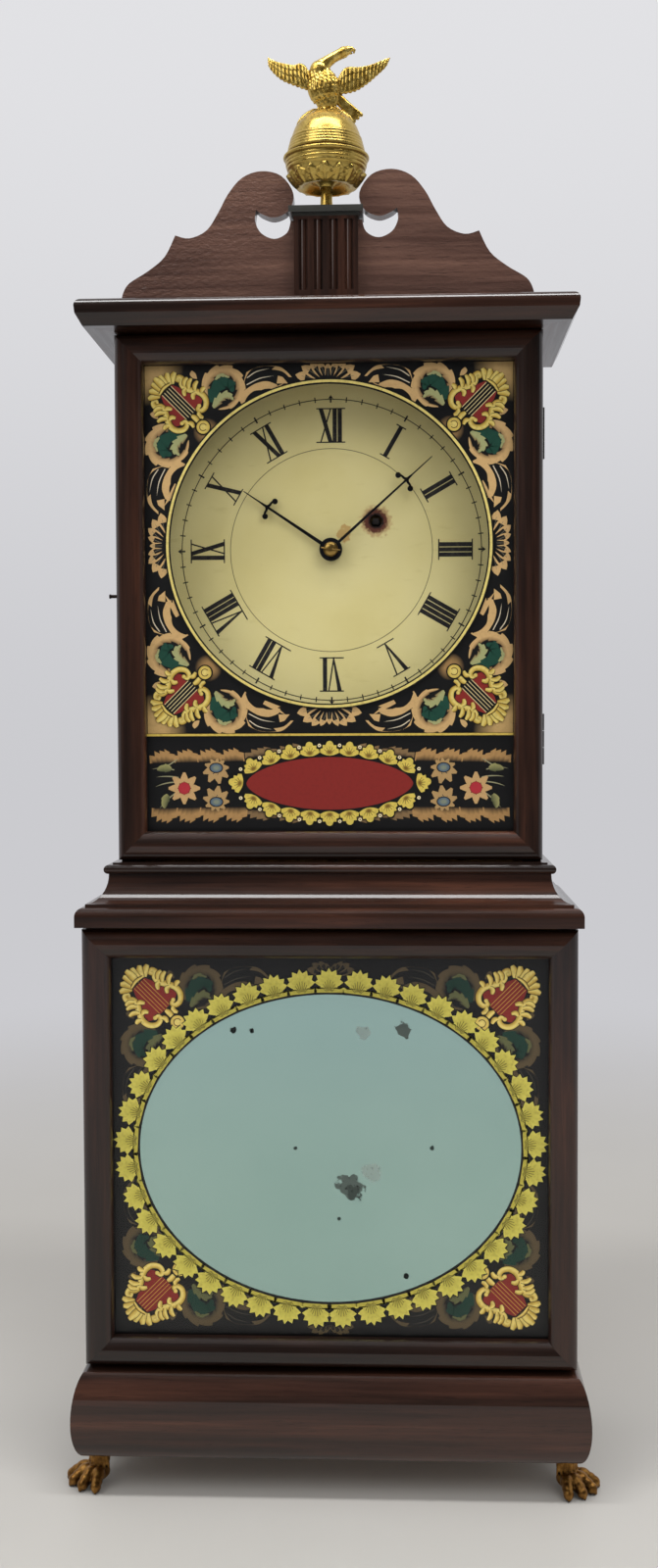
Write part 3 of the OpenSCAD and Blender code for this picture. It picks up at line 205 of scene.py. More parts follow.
def wood(name, tones, along, mitre=None, gloss=0.34, coat=0.75, ripple=0.00004, peel=0.0):
    """Wood with figure, fine grain and pores along one axis, under a slightly rippled finish. peel is the depth of a
    coarser orange-peel texture, strongest toward the upper left."""
    s = Shader(name, coat_weight=coat, **COAT_GLOSS)
    place = grain_place(s, along, mitre)
    figure = s.noise(s.scaled((2.2, 26, 26), place), 1, 3, 0.5, 1.4)
    streak = s.noise(s.scaled((9, 260, 260), place), 1, 5, 0.6, 0.4)
    pores = s.noise(s.scaled((70, 1500, 1500), place), 1, 2, 0.6)
    blend = s.math("MULTIPLY_ADD", streak, 0.45, s.math("MULTIPLY", figure, 0.75))
    dark, low, mid, light = tones
    colour = s.ramp(blend, (0.36, dark), (0.52, low), (0.68, mid), (0.84, light))
    colour = s.mix(s.level(pores, 0.58, 0.72, 0, 0.55), colour, dark)
    s.set(base_color=colour, roughness=s.level(streak, 0.3, 0.7, gloss, gloss + 0.14))
    s.bump(pores, 0.00003)
    s.bump(s.noise(s.scaled((90, 260, 260), place), 1, 2, 0.5), ripple)
    if peel:
        x, y, z = s.node("ShaderNodeSeparateXYZ", s.place).outputs
        toward = s.level(s.math("MULTIPLY_ADD", x, -0.9, z), 0.79, 0.9, 0.35, 1.0)
        s.bump(s.math("MULTIPLY", s.noise(s.scaled((240, 430, 430), s.place), 1, 3, 0.55), toward), peel)
    return s.mat


def metal(name, tones, rough, spots=60.0, pitted=0.0, dark=None, metallic=1.0):
    """Metal whose tone and gloss wander, with darker hollows where it is pitted."""
    s = Shader(name, metallic=metallic)
    cloud = s.noise(s.place, spots, 5)
    colour = s.ramp(cloud, (0.3, tones[0]), (0.5, tones[1]), (0.72, tones[2]))
    if dark:
        colour = s.mix(s.level(s.noise(s.place, spots * 6, 4), 0.52, 0.7, 0, 0.7), colour, dark)
    s.set(base_color=colour, roughness=s.level(cloud, 0.25, 0.75, rough, rough + 0.14))
    if pitted:
        s.bump(s.noise(s.place, spots * 12, 3), pitted)
    return s.mat


def hollow_metal(name, tones, hollow, rough, reach=0.0025, pitted=0.0):
    """Cast metal that is bright where it is rubbed and dark in its hollows."""
    s = Shader(name, metallic=0.92)
    edge = s.node("ShaderNodeAmbientOcclusion", None, reach, samples=8)
    edge.inputs["Distance"].default_value = reach
    cloud = s.noise(s.place, 260, 4)
    colour = s.ramp(cloud, (0.32, tones[0]), (0.5, tones[1]), (0.7, tones[2]))
    open_share = s.level(edge.outputs["AO"], 0.35, 0.92)
    s.set(base_color=s.mix(open_share, hollow, colour), roughness=s.level(cloud, 0.3, 0.7, rough, rough + 0.15))
    if pitted:
        s.bump(s.noise(s.place, 900, 3), pitted)
    return s.mat


def glass_mat():
    """Thin window glass: what is behind shows through it, and it mirrors more at a slant."""
    s = Shader("window_glass")
    slant = s.node("ShaderNodeLayerWeight", 0.5).outputs["Facing"]
    share = s.math("MULTIPLY_ADD", s.math("POWER", slant, 4.0), 0.85, 0.012)
    clear = s.node("ShaderNodeBsdfTransparent", (1, 1, 1, 1)).outputs[0]
    shine = s.node("ShaderNodeBsdfGlossy", (1, 1, 1, 1), 0.03).outputs[0]
    both = s.node("ShaderNodeMixShader", share, clear, shine).outputs[0]
    s.tree.nodes.remove(s.surface)
    s.feed(s.output.inputs["Surface"], both)
    return s.mat


def painted(name, rough=0.42, metallic=0.0, wear=0.12, dark=rgb(12, 11, 10)):
    """Paint that takes its colours from the mesh's own paint layer, a little uneven."""
    s = Shader(name, roughness=rough, metallic=metallic, specular_ior_level=0.35)
    colour = s.node("ShaderNodeVertexColor", layer_name="paint").outputs["Color"]
    cloud = s.noise(s.place, 420, 4)
    s.set(base_color=s.mix(s.level(cloud, 0.45, 0.75, 0, wear), colour, dark))
    s.bump(s.noise(s.place, 1500, 2), 0.00001)
    return s.mat


def dial_mat(hub, wind):
    """Aged cream paint with a worn ring round the winding hole and ochre loss by the boss."""
    s = Shader("dial_paint", roughness=0.5, specular_ior_level=0.3)
    cream = ((0.3, rgb(214, 201, 136)), (0.5, rgb(220, 208, 145)), (0.72, rgb(224, 213, 154)))
    base = s.ramp(s.noise(s.place, 14, 5), *cream)
    base = s.mix(s.level(s.noise(s.scaled((60, 60, 240)), 1, 5), 0.58, 0.78, 0, 0.25), base, rgb(190, 174, 112))
    specks = s.level(s.noise(s.place, 900, 2), 0.71, 0.76)
    base = s.mix(s.math("MULTIPLY", specks, 0.5), base, rgb(120, 96, 54))
    ochre = s.near(hub[0] + 9, hub[1] + 11, 5.2, 5.5, 260)
    base = s.mix(s.math("MULTIPLY", ochre, 0.65), base, rgb(186, 132, 60))
    base = s.mix(s.math("MULTIPLY", s.near(*wind, 10.4, 4.5, 420), 0.55), base, rgb(168, 116, 70))
    base = s.mix(s.near(*wind, 8.2, 3.6, 480), base, rgb(96, 52, 38))
    base = s.mix(s.near(*wind, 5.4, 1.6, 420), base, rgb(38, 26, 22))
    s.set(base_color=base)
    s.bump(s.noise(s.place, 700, 3), 0.00002)
    return s.mat


def silver_mat(spots):
    """Old silvering, pale blue-green, with clouded patches and dark specks where it has gone."""
    s = Shader("old_silvering", metallic=0.85, specular_ior_level=0.5)
    tint = s.ramp(s.noise(s.place, 7, 3), (0.3, rgb(162, 194, 185)), (0.7, rgb(171, 201, 192)))
    lost = None
    for x, z, radius, tone, share, ragged in spots:
        here = s.math("MULTIPLY", s.near(x, z, radius, ragged, 190), share)
        tint = s.mix(here, tint, tone)
        lost = here if lost is None else s.math("MAXIMUM", lost, here)
    specks = s.level(s.noise(s.place, 210, 5, 0.75), 0.735, 0.75)
    tint = s.mix(specks, tint, rgb(38, 44, 40))
    crumbs = s.math("MULTIPLY", s.level(s.noise(s.place, 520, 3), 0.6, 0.66), lost)
    tint = s.mix(crumbs, tint, rgb(36, 40, 38))
    s.set(base_color=tint, roughness=s.level(lost, 0, 1, 0.07, 0.5))
    return s.mat


def cord_mat():
    s = Shader("braided_cord", roughness=0.85, specular_ior_level=0.2)
    x, y, z = s.node("ShaderNodeSeparateXYZ", s.place).outputs
    twist = s.math("SINE", s.math("MULTIPLY_ADD", z, 3200.0, s.math("MULTIPLY", s.math("ADD", x, y), 1800.0)))
    s.set(base_color=s.ramp(s.level(twist, -1, 1), (0.0, rgb(112, 94, 66)), (1.0, rgb(176, 156, 118))))
    s.bump(s.level(twist, -1, 1), 0.0002)
    return s.mat


GLOBE_TONES = (rgb(176, 146, 72), rgb(188, 160, 82), rgb(200, 174, 96))
GOLD_TONES = (rgb(176, 138, 58), rgb(206, 172, 84), rgb(232, 204, 118))
BRASS_TONES = (rgb(150, 118, 62), rgb(186, 152, 84), rgb(208, 178, 108))
BRONZE_TONES = (rgb(96, 66, 32), rgb(136, 96, 46), rgb(178, 134, 70))

wood_up = wood("mahogany_upright", MAHOGANY, "z")
wood_across = wood("mahogany_across", MAHOGANY, "x")
pine_up = wood("pine_upright", PINE, "z", gloss=0.6, coat=0, ripple=0.00002)
pine_across = wood("pine_across", PINE, "x", gloss=0.6, coat=0, ripple=0.00002)
# Grey-black wood for the plinth's cap is painted shade: it darkens the cap as the shadow on its front and sides does
cap_painted_shade_wood = wood("cap_wood_painted_shade", (rgb(26, 26, 25), rgb(38, 38, 36), rgb(50, 50, 47), rgb(64, 64, 60)), "x")
gilt = hollow_metal("gilt_brass", GOLD_TONES, rgb(92, 60, 20), 0.2, 0.002, 0.00001)
gilt_ball = hollow_metal("gilt_globe", GLOBE_TONES, rgb(84, 56, 20), 0.24, 0.0024)
brass = metal("clock_brass", BRASS_TONES, 0.26, 40, 0.000004)
bronze = hollow_metal("foot_bronze", BRONZE_TONES, rgb(34, 22, 14), 0.34, 0.004, 0.00003)
iron = metal("dark_iron", (rgb(32, 28, 26), rgb(46, 41, 38), rgb(66, 58, 52)), 0.46, 180, 0.00003, rgb(22, 18, 16))
steel = metal("plain_steel", (rgb(120, 120, 122), rgb(150, 150, 152), rgb(176, 176, 178)), 0.3, 70)
arbor_steel = metal("arbor_steel", (rgb(64, 60, 56), rgb(92, 88, 84), rgb(120, 116, 110)), 0.36, 120, 0.00001)
blued = metal("blackened_steel", (rgb(18, 18, 22), rgb(26, 26, 31), rgb(38, 38, 44)), 0.34, 160, 0.00001, None, 0.7)
cast_iron = metal("cast_iron", (rgb(44, 42, 40), rgb(58, 55, 52), rgb(74, 69, 64)), 0.6, 90, 0.0001,
                  rgb(70, 42, 28), 0.6)
glass = glass_mat()
paint = painted("tablet_paint")
gold_leaf = painted("gold_leaf", 0.36, 0.35, 0.3, rgb(120, 88, 30))
dial_ink = painted("dial_ink", 0.5, 0, 0.3, rgb(98, 92, 70))
cord_fibre = cord_mat()


def mesh_object(name, verts, faces, material, body, smooth=True, colours=None):
    """A new piece from points in millimetres that rides on a body."""
    mesh = bpy.data.meshes.new(name)
    mesh.from_pydata([Vector(v) * MM for v in verts], [], faces)
    mesh.validate()
    mesh.polygons.foreach_set("use_smooth", [smooth] * len(mesh.polygons))
    if colours:
        layer = mesh.color_attributes.new("paint", "FLOAT_COLOR", "POINT")
        for place, colour in zip(layer.data, colours):
            place.color = colour
    made = bpy.data.objects.new(name, mesh)
    bpy.context.scene.collection.objects.link(made)
    mesh.materials.append(material)
    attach(made, body)
    return made


def baked_mesh(made):
    """Turns a piece's modifiers into its mesh."""
    bpy.context.view_layer.update()
    solid = bpy.data.meshes.new_from_object(made.evaluated_get(bpy.context.evaluated_depsgraph_get()))
    made.modifiers.clear()
    made.data = solid
    solid.polygons.foreach_set("use_smooth", [True] * len(solid.polygons))
    return made


def cast(made, grain, passes=5):
    """Melts overlapping lumps into one cast surface."""
    melt = made.modifiers.new("melt", "REMESH")
    melt.mode = "VOXEL"
    melt.voxel_size = grain * MM
    soften = made.modifiers.new("soften", "SMOOTH")
    soften.factor = 0.5
    soften.iterations = passes
    return baked_mesh(made)


def skin(rings, sides, first=0, caps=True):
    """Faces over rings of points that follow one another in a mesh, with closed ends if wanted."""
    faces = [[first + i * sides + j, first + i * sides + (j + 1) % sides,
              first + (i + 1) * sides + (j + 1) % sides, first + (i + 1) * sides + j]
             for i in range(rings - 1) for j in range(sides)]
    if caps:
        last = first + (rings - 1) * sides
        faces += [list(range(first, first + sides))[::-1], list(range(last, last + sides))]
    return faces


def lengths_along(points):
    """How long a line is up to each of its points."""
    reach = [0]
    for a, b in zip(points, points[1:]):
        reach.append(reach[-1] + (b - a).length)
    return reach


def across_line(line, i, rise=0.0):
    """Two directions across a line at its point i. A line that may run along y needs a rise."""
    ahead = (line[min(i + 1, len(line) - 1)] - line[max(i - 1, 0)]).normalized()
    side = ahead.cross(Vector((0, 1, rise))).normalized()
    return side, side.cross(ahead)


class Lumps:
    """Solids that overlap, to be melted into one casting. Points are in millimetres."""

    def __init__(self):
        self.verts, self.faces = [], []

    def ball(self, at, radius, size=(1, 1, 1), turn=None, rings=10, sides=14):
        turn = turn or Matrix.Identity(3)
        self.faces += skin(rings + 1, sides, len(self.verts), caps=False)
        for i in range(rings + 1):
            a = math.pi * i / rings
            for j in range(sides):
                b = TAU * j / sides
                p = (math.sin(a) * math.cos(b) * size[0], math.sin(a) * math.sin(b) * size[1], -math.cos(a) * size[2])
                self.verts.append(Vector(at) + turn @ (Vector(p) * radius))

    def rope(self, line, radii, flat=1.0, sides=14):
        """A tube along points, with a radius at each, rounded at its ends."""
        line = [Vector(p) for p in line]
        for end in (0, -1):
            self.ball(line[end], radii[end], (1, flat, 1))
        self.faces += skin(len(line), sides, len(self.verts))
        for i, (p, r) in enumerate(zip(line, radii)):
            side, up = across_line(line, i, 0.02)
            for j in range(sides):
                b = TAU * j / sides
                self.verts.append(p + side * math.cos(b) * r + up * math.sin(b) * r * flat)


# Flat painted work: points are (x, z) in millimetres as seen from the front

def path(start, heading, length, *bends, steps=12):
    """Points along a line that turns by each of bends degrees over equal shares of its length."""
    points = [Vector(start)]
    step = length / (steps * len(bends))
    angle = math.radians(heading)
    for bend in bends:
        for _ in range(steps):
            angle += math.radians(bend) / steps
            points.append(points[-1] + step * Vector((math.cos(angle), math.sin(angle))))
    return points


def round_line(centre, radius, high=None, steps=120, start=0, turn=360):
    """Points round a circle, or an oval where high is given."""
    return [Vector((centre[0] + radius * math.cos(math.radians(start + turn * i / steps)),
                    centre[1] + (high or radius) * math.sin(math.radians(start + turn * i / steps))))
            for i in range(steps + (turn != 360))]


def flowing(points, closed=True, steps=4, sharp=72):
    """A smooth line through points that keeps its sharp tips."""
    points = [Vector(p) for p in points]
    n = len(points)
    slopes = []
    for i, p in enumerate(points):
        before, after = points[i - 1], points[(i + 1) % n]
        if not closed and i in (0, n - 1):
            slopes.append(after - p if i == 0 else p - before)
            continue
        turn = (p - before).angle(after - p, 0)
        slopes.append((after - before) / 2 if turn < math.radians(sharp) else Vector((0, 0)))
    made = []
    for i in range(n if closed else n - 1):
        p, q, a, b = points[i], points[(i + 1) % n], slopes[i], slopes[(i + 1) % n]
        for k in range(steps):
            t = k / steps
            made.append(p * (2 * t ** 3 - 3 * t * t + 1) + a * (t ** 3 - 2 * t * t + t)
                        + q * (3 * t * t - 2 * t ** 3) + b * (t ** 3 - t * t))
    return made if closed else [*made, points[-1]]


def tapered(width, root=0.15):
    """A half width that swells from the root and runs out at the tip."""
    return lambda t: width * math.sin(math.pi * (root + (1 - root) * t)) ** 0.8


def lobed(width, lobes, depth, root=0.14):
    """A leaf's half width: a swelling edge cut into lobes that point forward."""
    def half(t):
        swell = max(0.0, math.sin(math.pi * (root + (1 - root) * t))) ** 0.7
        return width * swell * (1 - depth * (1 - (t * lobes) % 1)) if t < 1 else 0
    return half


class Art:
    """Painted shapes, each a hair in front of the one before. places are the ways in which each shape is laid down,
    keep holds its points inside the part of the glass that shows, and order may be shared with other work."""

    def __init__(self, keep=None, order=None):
        self.verts, self.faces, self.colours, self.depths = [], [], [], []
        self.places = [lambda p: p]
        self.keep = keep or (lambda p: p)
        self.order = order or [0.0]

    def add(self, points, faces, colours):
        self.order[0] += 0.008
        for place in self.places:
            first = len(self.verts)
            self.verts += [self.keep(place(p)) for p in points]
            self.faces += [[first + i for i in f] for f in faces]
            self.colours += colours
            self.depths += [self.order[0]] * len(points)

    def fill(self, outline, colour, holes=()):
        loops = [outline, *holes]
        faces = tessellate_polygon([[Vector((*p, 0)) for p in loop] for loop in loops])
        points = [Vector(p) for loop in loops for p in loop]
        self.add(points, [list(f) for f in faces], [colour] * len(points))

    def shape(self, outline, colour, sharp=72):
        self.fill(flowing(outline, sharp=sharp), colour)

    def blade(self, line, half, rows, lean=0.0, closed=False):
        """A strip along a line. rows gives a colour at each share of the half width. lean draws the edges forward."""
        n = len(line)
        points, colours, faces = [], [], []
        for i, p in enumerate(line):
            before, after = (i - 1, (i + 1) % n) if closed else (max(i - 1, 0), min(i + 1, n - 1))
            ahead = (line[after] - line[before]).normalized()
            left = Vector((-ahead.y, ahead.x))
            w = half(i / (n - 1))
            for share, colour in rows:
                points.append(p + left * share * w + ahead * lean * share * share * w)
                colours.append(colour)
        m = len(rows)
        for i in range(n if closed else n - 1):
            j = (i + 1) % n
            faces += [[i * m + k, j * m + k, j * m + k + 1, i * m + k + 1] for k in range(m - 1)]
        self.add(points, faces, colours)

    def line(self, points, width, colour, closed=False):
        self.blade([Vector(p) for p in points], lambda t: width / 2, [(-1, colour), (1, colour)], closed=closed)

    def disc(self, at, radius, inner, outer=None, steps=20, core=0.0, high=None):
        """A round spot that shades from inner to outer outside its core."""
        rim = round_line(at, radius, high, steps=steps)
        mid = [Vector(at).lerp(p, core) for p in rim]
        faces = [[0, 1 + i, 1 + (i + 1) % steps] for i in range(steps)]
        if core:
            faces += [[1 + i, 1 + steps + i, 1 + steps + (i + 1) % steps, 1 + (i + 1) % steps] for i in range(steps)]
            self.add([Vector(at), *mid, *rim], faces, [inner] * (1 + steps) + [outer or inner] * steps)
        else:
            self.add([Vector(at), *rim], faces, [inner] + [outer or inner] * steps)

    def piece(self, name, y, centre, material, body, slot):
        """The layer as a sheet that faces the front, at a depth y."""
        faces = []
        for f in self.faces:
            for tri in ([f] if len(f) == 3 else [[f[0], f[1], f[2]], [f[0], f[2], f[3]]]):
                a, b, c = (self.verts[i] for i in tri)
                area = (b - a).cross(c - a)
                if abs(area) > 1e-7:
                    faces.append(tri if area > 0 else tri[::-1])
        verts = [(centre[0] + p[0], y - depth, centre[1] + p[1]) for p, depth in zip(self.verts, self.depths)]
        return mesh_object(name, verts, faces, material, body, smooth=False, colours=self.colours)


def mirrored(half_w, half_h, quarters=((1, 1), (-1, 1), (1, -1), (-1, -1)), swap=False):
    """Places for work drawn from a corner: its points count inward from the corner."""
    made = []
    for sx, sz in quarters:
        made.append(lambda p, sx=sx, sz=sz: Vector((sx * (half_w - p[0]), sz * (half_h - p[1]))))
        if swap:
            made.append(lambda p, sx=sx, sz=sz: Vector((sx * (half_w - p[1]), sz * (half_h - p[0]))))
    return made


def spun(centre, count, radius=0, high=None, start=0):
    """Places for work drawn upward from (0, 0), set evenly round a circle or oval and turned outward."""
    high = high or radius
    fine = 720
    rim = round_line(centre, max(radius, 1e-6), max(high, 1e-6), steps=fine, start=start)
    reach = lengths_along([*rim, rim[0]])
    made, i = [], 0
    for k in range(count):
        if radius:
            while reach[i + 1] < reach[-1] * k / count:
                i += 1
            angle = math.radians(start + 360 * i / fine)
        else:
            angle = math.radians(start + 360 * k / count)
        at = Vector((centre[0] + radius * math.cos(angle), centre[1] + high * math.sin(angle)))
        out = Vector((math.cos(angle) / max(radius, 1), math.sin(angle) / max(high, 1))).normalized()
        side = Vector((out.y, -out.x))
        made.append(lambda p, at=at, out=out, side=side: at + side * p[0] + out * p[1])
    return made


BLACK = rgb(13, 13, 14)
INK = rgb(22, 20, 18)
TAN = rgb(192, 157, 104)
GREEN, PALE_GREEN = rgb(22, 66, 52), rgb(152, 154, 104)
GOLD, PALE_GOLD, DEEP_GOLD = rgb(222, 192, 92), rgb(242, 222, 132), rgb(168, 130, 50)
RED, CREAM, BLUE = rgb(128, 34, 28), rgb(232, 216, 174), rgb(66, 88, 112)

# Leaves in the half of a corner beside the ring's top, counted from the corner. The other half is their mirror image
CURL = ((42, 23), (39.6, 14), (43.6, 6.4), (51, 3.4), (58.6, 5.8), (62.4, 12.6), (61.4, 20.4), (56, 26.4), (48, 28.6))
CURL_GREEN = ((43.6, 25), (45.6, 17), (50.6, 11.6), (56, 12.6), (57.4, 17.6))
CURL_PALE = ((44.6, 27.6), (49.4, 21.6), (54, 19.6), (58, 22.6))
CURL_TIP = ((46, 9.5), (50, 6.6), (55.6, 8.2))
PLUME_BACK = ((64.5, 12), (66.5, 5), (74, 1.6), (86, 1.2), (91.5, 3.8), (96, 8.4), (90, 8.2), (93.4, 12.4), (86, 12.4),
              (87.4, 16.4), (78, 15.8), (70, 21), (64.5, 27.5), (62, 22))
PLUME = ((65.4, 10), (70, 3.2), (78, 1.2), (85, 1.4), (83, 3.4), (90, 4.8), (95.4, 9.8), (87, 7.4), (86, 13),
         (79.5, 10.8), (72, 12.4), (65.2, 16.6))
RING_LEAF = ((64.6, 26.4), (66.6, 21.2), (71.4, 17), (77.8, 16.6), (75.6, 19), (76.4, 21.2), (71, 21.2), (67.4, 25.8))
SIDE_LEAF = ((76, 19.4), (80.6, 16.8), (91, 12), (85.4, 17), (87.6, 17.6), (81, 20.2), (77.4, 21.6))
DROP = ((29.6, 5.6), (31, 3.4), (33.4, 5.4), (34.4, 8.8), (31.4, 8.2))

# A shield, counted along its axis toward the corner and across it. Half of its outline, scroll, leaves and rays
# stands here, and the other half is the mirror image
SHIELD_BACK = ((14.6, 0), (14, 6.6), (8, 9.4), (3, 11.4), (-3, 14.4), (-9, 15.4), (-14, 12), (-14.6, 6))
SHIELD_FIELD = ((12, 0), (12.2, 5), (8, 7), (2, 8.4), (-3.4, 12), (-8.6, 12.4), (-11, 8), (-10.4, 4))
SHIELD_BAND = ((12.2, -4.2), (12.2, 4.2), (-10.6, 4.2), (-10.6, -4.2))
SHIELD_STRIPES = (-4.1, -2.05, 0, 2.05, 4.1)
SHIELD_SCROLL = ((10, 10.4), (12.4, 9.6), (12.6, 12), (9.8, 12.6), (8, 10), (4, 9.8), (-1, 12.6), (-5.5, 14.6),
                 (-10.5, 13.8), (-13.6, 10.2), (-13.2, 6.6), (-10.8, 5.6), (-10, 8))
SHIELD_LEAVES = (((6, 10), (8, 12.6), (8.2, 15.6)), ((2.6, 11), (5.2, 13.6), (6, 17)),
                 ((-1, 13), (1.4, 15.4), (2, 18.6)), ((-5, 15), (-4, 17), (-4.4, 19)), ((4, 9.4), (3.4, 7.6), (1, 6)),
                 ((-2.6, 12.4), (-2.4, 10), (-4.6, 8.4)), ((-12.6, 5), (-14.6, 3.6), (-17.4, 4.4)))
SHIELD_RAYS = ((12.4, 5.6, 16.6, 12.2), (13, 4.2, 19.8, 8.4), (13, 2.4, 22, 3.8))
BUTTON_AT, BUTTON_R = (-21.6, 0), 4.3


def moved(outline, by):
    return [(p[0] + by[0], p[1] + by[1]) for p in outline]


class Tablet:
    """The paint and the gilding on a glass, in the order in which they are laid down."""

    def __init__(self, keep=None):
        order = [0.0]
        self.order, self.paint, self.gold = order, Art(keep, order), Art(keep, order)

    def set_places(self, places, start=None):
        """Sets how the next shapes are laid down. start takes them to a depth of their own."""
        self.paint.places = self.gold.places = places
        if start is not None:
            self.order[0] = start

    def stroke(self, points, width, knob=0.0, rim=0.45):
        """A gold stroke through points over a dark edge, which stands rim beyond it. It may end in a round knob."""
        line = flowing(points, closed=False, sharp=180)

        def swell(t):
            return width * (0.35 + 0.65 * math.sin(math.pi * min(1, 0.1 + 0.8 * t)))
        self.paint.blade(line, lambda t: swell(t) + rim, [(-1, BLACK), (1, BLACK)])
        self.gold.blade(line, swell, [(-1, DEEP_GOLD), (-0.4, GOLD), (0.4, PALE_GOLD), (1, GOLD)])
        if knob:
            self.gold.disc(line[-1], knob, PALE_GOLD, GOLD, 14)

    def shield(self, at, size=1.0, band=BLACK, stripe=rgb(226, 210, 156), stripe_w=0.52):
        """A red shield with pale stripes in a frame of gold scrolls and leaves. Its axis runs to the corner."""
        out = Vector((-1, -1)).normalized()
        side = Vector((-out.y, out.x))

        def put(points, flip=1):
            return [Vector(at) + (out * a + side * b * flip) * size for a, b in points]
        for half, tone in ((SHIELD_BACK, BLACK), (SHIELD_FIELD, RED)):
            self.paint.fill(put((*half, *((a, -b) for a, b in half[:0:-1]))), tone)
        self.paint.fill(put(SHIELD_BAND), band)
        for b in SHIELD_STRIPES:
            self.gold.line(put(((12, b), (-10.4, b))), stripe_w * size, stripe)
        for flip in (1, -1):
            self.stroke(put(SHIELD_SCROLL, flip), 1.9 * size, 1.3 * size)
            for leaf in SHIELD_LEAVES:
                self.stroke(put(leaf, flip), 1.5 * size, rim=0.3)
            for a, b, tip_a, tip_b in SHIELD_RAYS:
                ray = ((a, b), ((a + tip_a) / 2 + 0.6, (b + tip_b) / 2 - 0.5), (tip_a, tip_b))
                self.stroke(put(ray, flip), 2.1 * size, rim=0.3)
        self.stroke(put(((13, 0), (18, 0.4), (23.4, 0))), 2.3 * size, rim=0.3)
        self.stroke(put(((13.4, -5), (14.4, 0), (13.4, 5))), 0.9 * size)
        self.stroke(put(((-11, 0), (-14, 0.6), (-18, 0))), 1.7 * size)
        button, = put((BUTTON_AT,))
        self.paint.disc(button, (BUTTON_R + 0.9) * size, BLACK)
        self.gold.disc(button, BUTTON_R * size, PALE_GOLD, GOLD, 24)
        self.paint.line(round_line(button, 2.3 * size, steps=24, start=40, turn=290), 0.55 * size, rgb(96, 70, 28))

    def corner_leaves(self, by, tan, fold, green, pale, rib):
        """A curled leaf with a green lining, plumes beside it, and small leaves toward the ring."""
        self.paint.shape(moved(PLUME_BACK, by), tan, 44)
        self.paint.shape(moved(PLUME, by), BLACK, 44)
        self.paint.shape(moved(SIDE_LEAF, by), tan, 44)
        self.paint.shape(moved(RING_LEAF, by), BLACK)
        for a, b, c in (((66.8, 8.6), (73, 4.6), (82, 2.6)), ((66.6, 13), (75, 9), (84, 7.4))):
            self.paint.blade(flowing(moved((a, b, c), by), closed=False), tapered(0.35, 0.3), [(-1, rib), (1, rib)])
        for line, half, rows in ((CURL, lobed(4.3, 9, 0.42, 0.22), [(-1, tan), (0, tan), (1, fold)]),
                                 (CURL_GREEN, lobed(5.0, 5, 0.45, 0.2), [(-1, green), (1, green)]),
                                 (CURL_PALE, lobed(3.6, 5, 0.5, 0.2), [(-1, pale), (0.3, pale), (1, fold)]),
                                 (CURL_TIP, lobed(1.5, 3, 0.5, 0.2), [(-1, pale), (1, pale)])):
            self.paint.blade(flowing(moved(line, by), closed=False, steps=9, sharp=180), half, rows, lean=0.5)
        self.paint.shape(moved(DROP, by), tan)

    def leaf_row(self, start, end, count, high, tone, fade):
        """Serrated leaves in a row, pale at their outer edge and dark where they meet the flowers."""
        start, end = Vector(start), Vector(end)
        along = (end - start) / count
        up = Vector((0, high))
        for k in range(count):
            root = start + along * k
            teeth = [root - along * 0.06]
            for j in range(5):
                t = (j + 0.5) / 5
                rise = 0.62 + 0.38 * math.sin(math.pi * min(1, t * 1.15))
                teeth.append(root + along * (t - 0.12) * 1.08 + up * rise * 0.82)
                teeth.append(root + along * (t + 0.1) * 1.08 + up * rise * (1.06 if j % 2 else 0.94))
            teeth.append(root + along * 1.06)
            low = [root + along * (i / (len(teeth) - 1)) for i in range(len(teeth))]
            n = len(teeth)
            mid = [a.lerp(b, 0.55) for a, b in zip(low, teeth)]
            self.paint.add([*low, *mid, *teeth], [[r * n + i, r * n + i + 1, (r + 1) * n + i + 1, (r + 1) * n + i]
                                                  for r in (0, 1) for i in range(n - 1)], [fade] * n + [tone] * (2 * n))

    def petals(self, at, angles, size, tone, root):
        """Rounded petals, each with a dark root. size gives the length for an angle in degrees."""
        for a in angles:
            length = size(a)
            line = path(at, a, length, 0, steps=9)

            def half(t):
                if t >= 1:
                    return length * 0.08
                return length * 0.26 * math.sin(math.pi * min(1, 0.14 + 0.86 * t ** 0.9)) ** 0.6
            self.paint.blade(line, half, [(-1, tone), (0, tone), (1, tone)])
            self.paint.blade(line[:5], lambda t: length * 0.16 * (1 - t) + 0.2, [(-1, root), (1, root)])

    def fan(self, width, height, tone, rib):
        """A fan of pointed leaves above (0, 0), dark at their roots, with fine ribs between them."""
        for angle in (12, 168, 30, 150, 48, 132, 66, 114, 90):
            a = math.radians(angle)
            long = math.hypot(width * math.cos(a), height * math.sin(a))
            line = path((0, -1), angle, long, 0, steps=10)

            def half(t):
                return long * 0.17 * math.sin(math.pi * min(1, 0.1 + 0.9 * t ** 1.6)) ** 0.7 if t < 1 else 0
            self.paint.blade(line, half, [(-1, tone), (0, tone), (1, tone)])
            self.paint.blade(line[:8], lambda t: long * 0.16 * (1 - 0.4 * t), [(-1, BLACK), (1, BLACK)])
            self.paint.line([line[3], line[8]], 0.3, rib)

    def finish(self, name, y, centre, body, slot):
        self.paint.piece(f"{name}_painting", y, centre, paint, body, slot)
        self.gold.piece(f"{name}_gilding", y, centre, gold_leaf, body, slot)


# Dial

DIAL_LOW, DIAL_HIGH = box_mm("dial")
DIAL_AT = (0, (DIAL_LOW.z + DIAL_HIGH.z) / 2)
DRUM_LOW, DRUM_HIGH = box_mm("winding_drum")
WIND_AT = ((DRUM_LOW.x + DRUM_HIGH.x) / 2, (DRUM_LOW.z + DRUM_HIGH.z) / 2)
DIAL_INK = rgb(30, 29, 32)
PRINT_Y = DIAL_LOW.y - 0.05

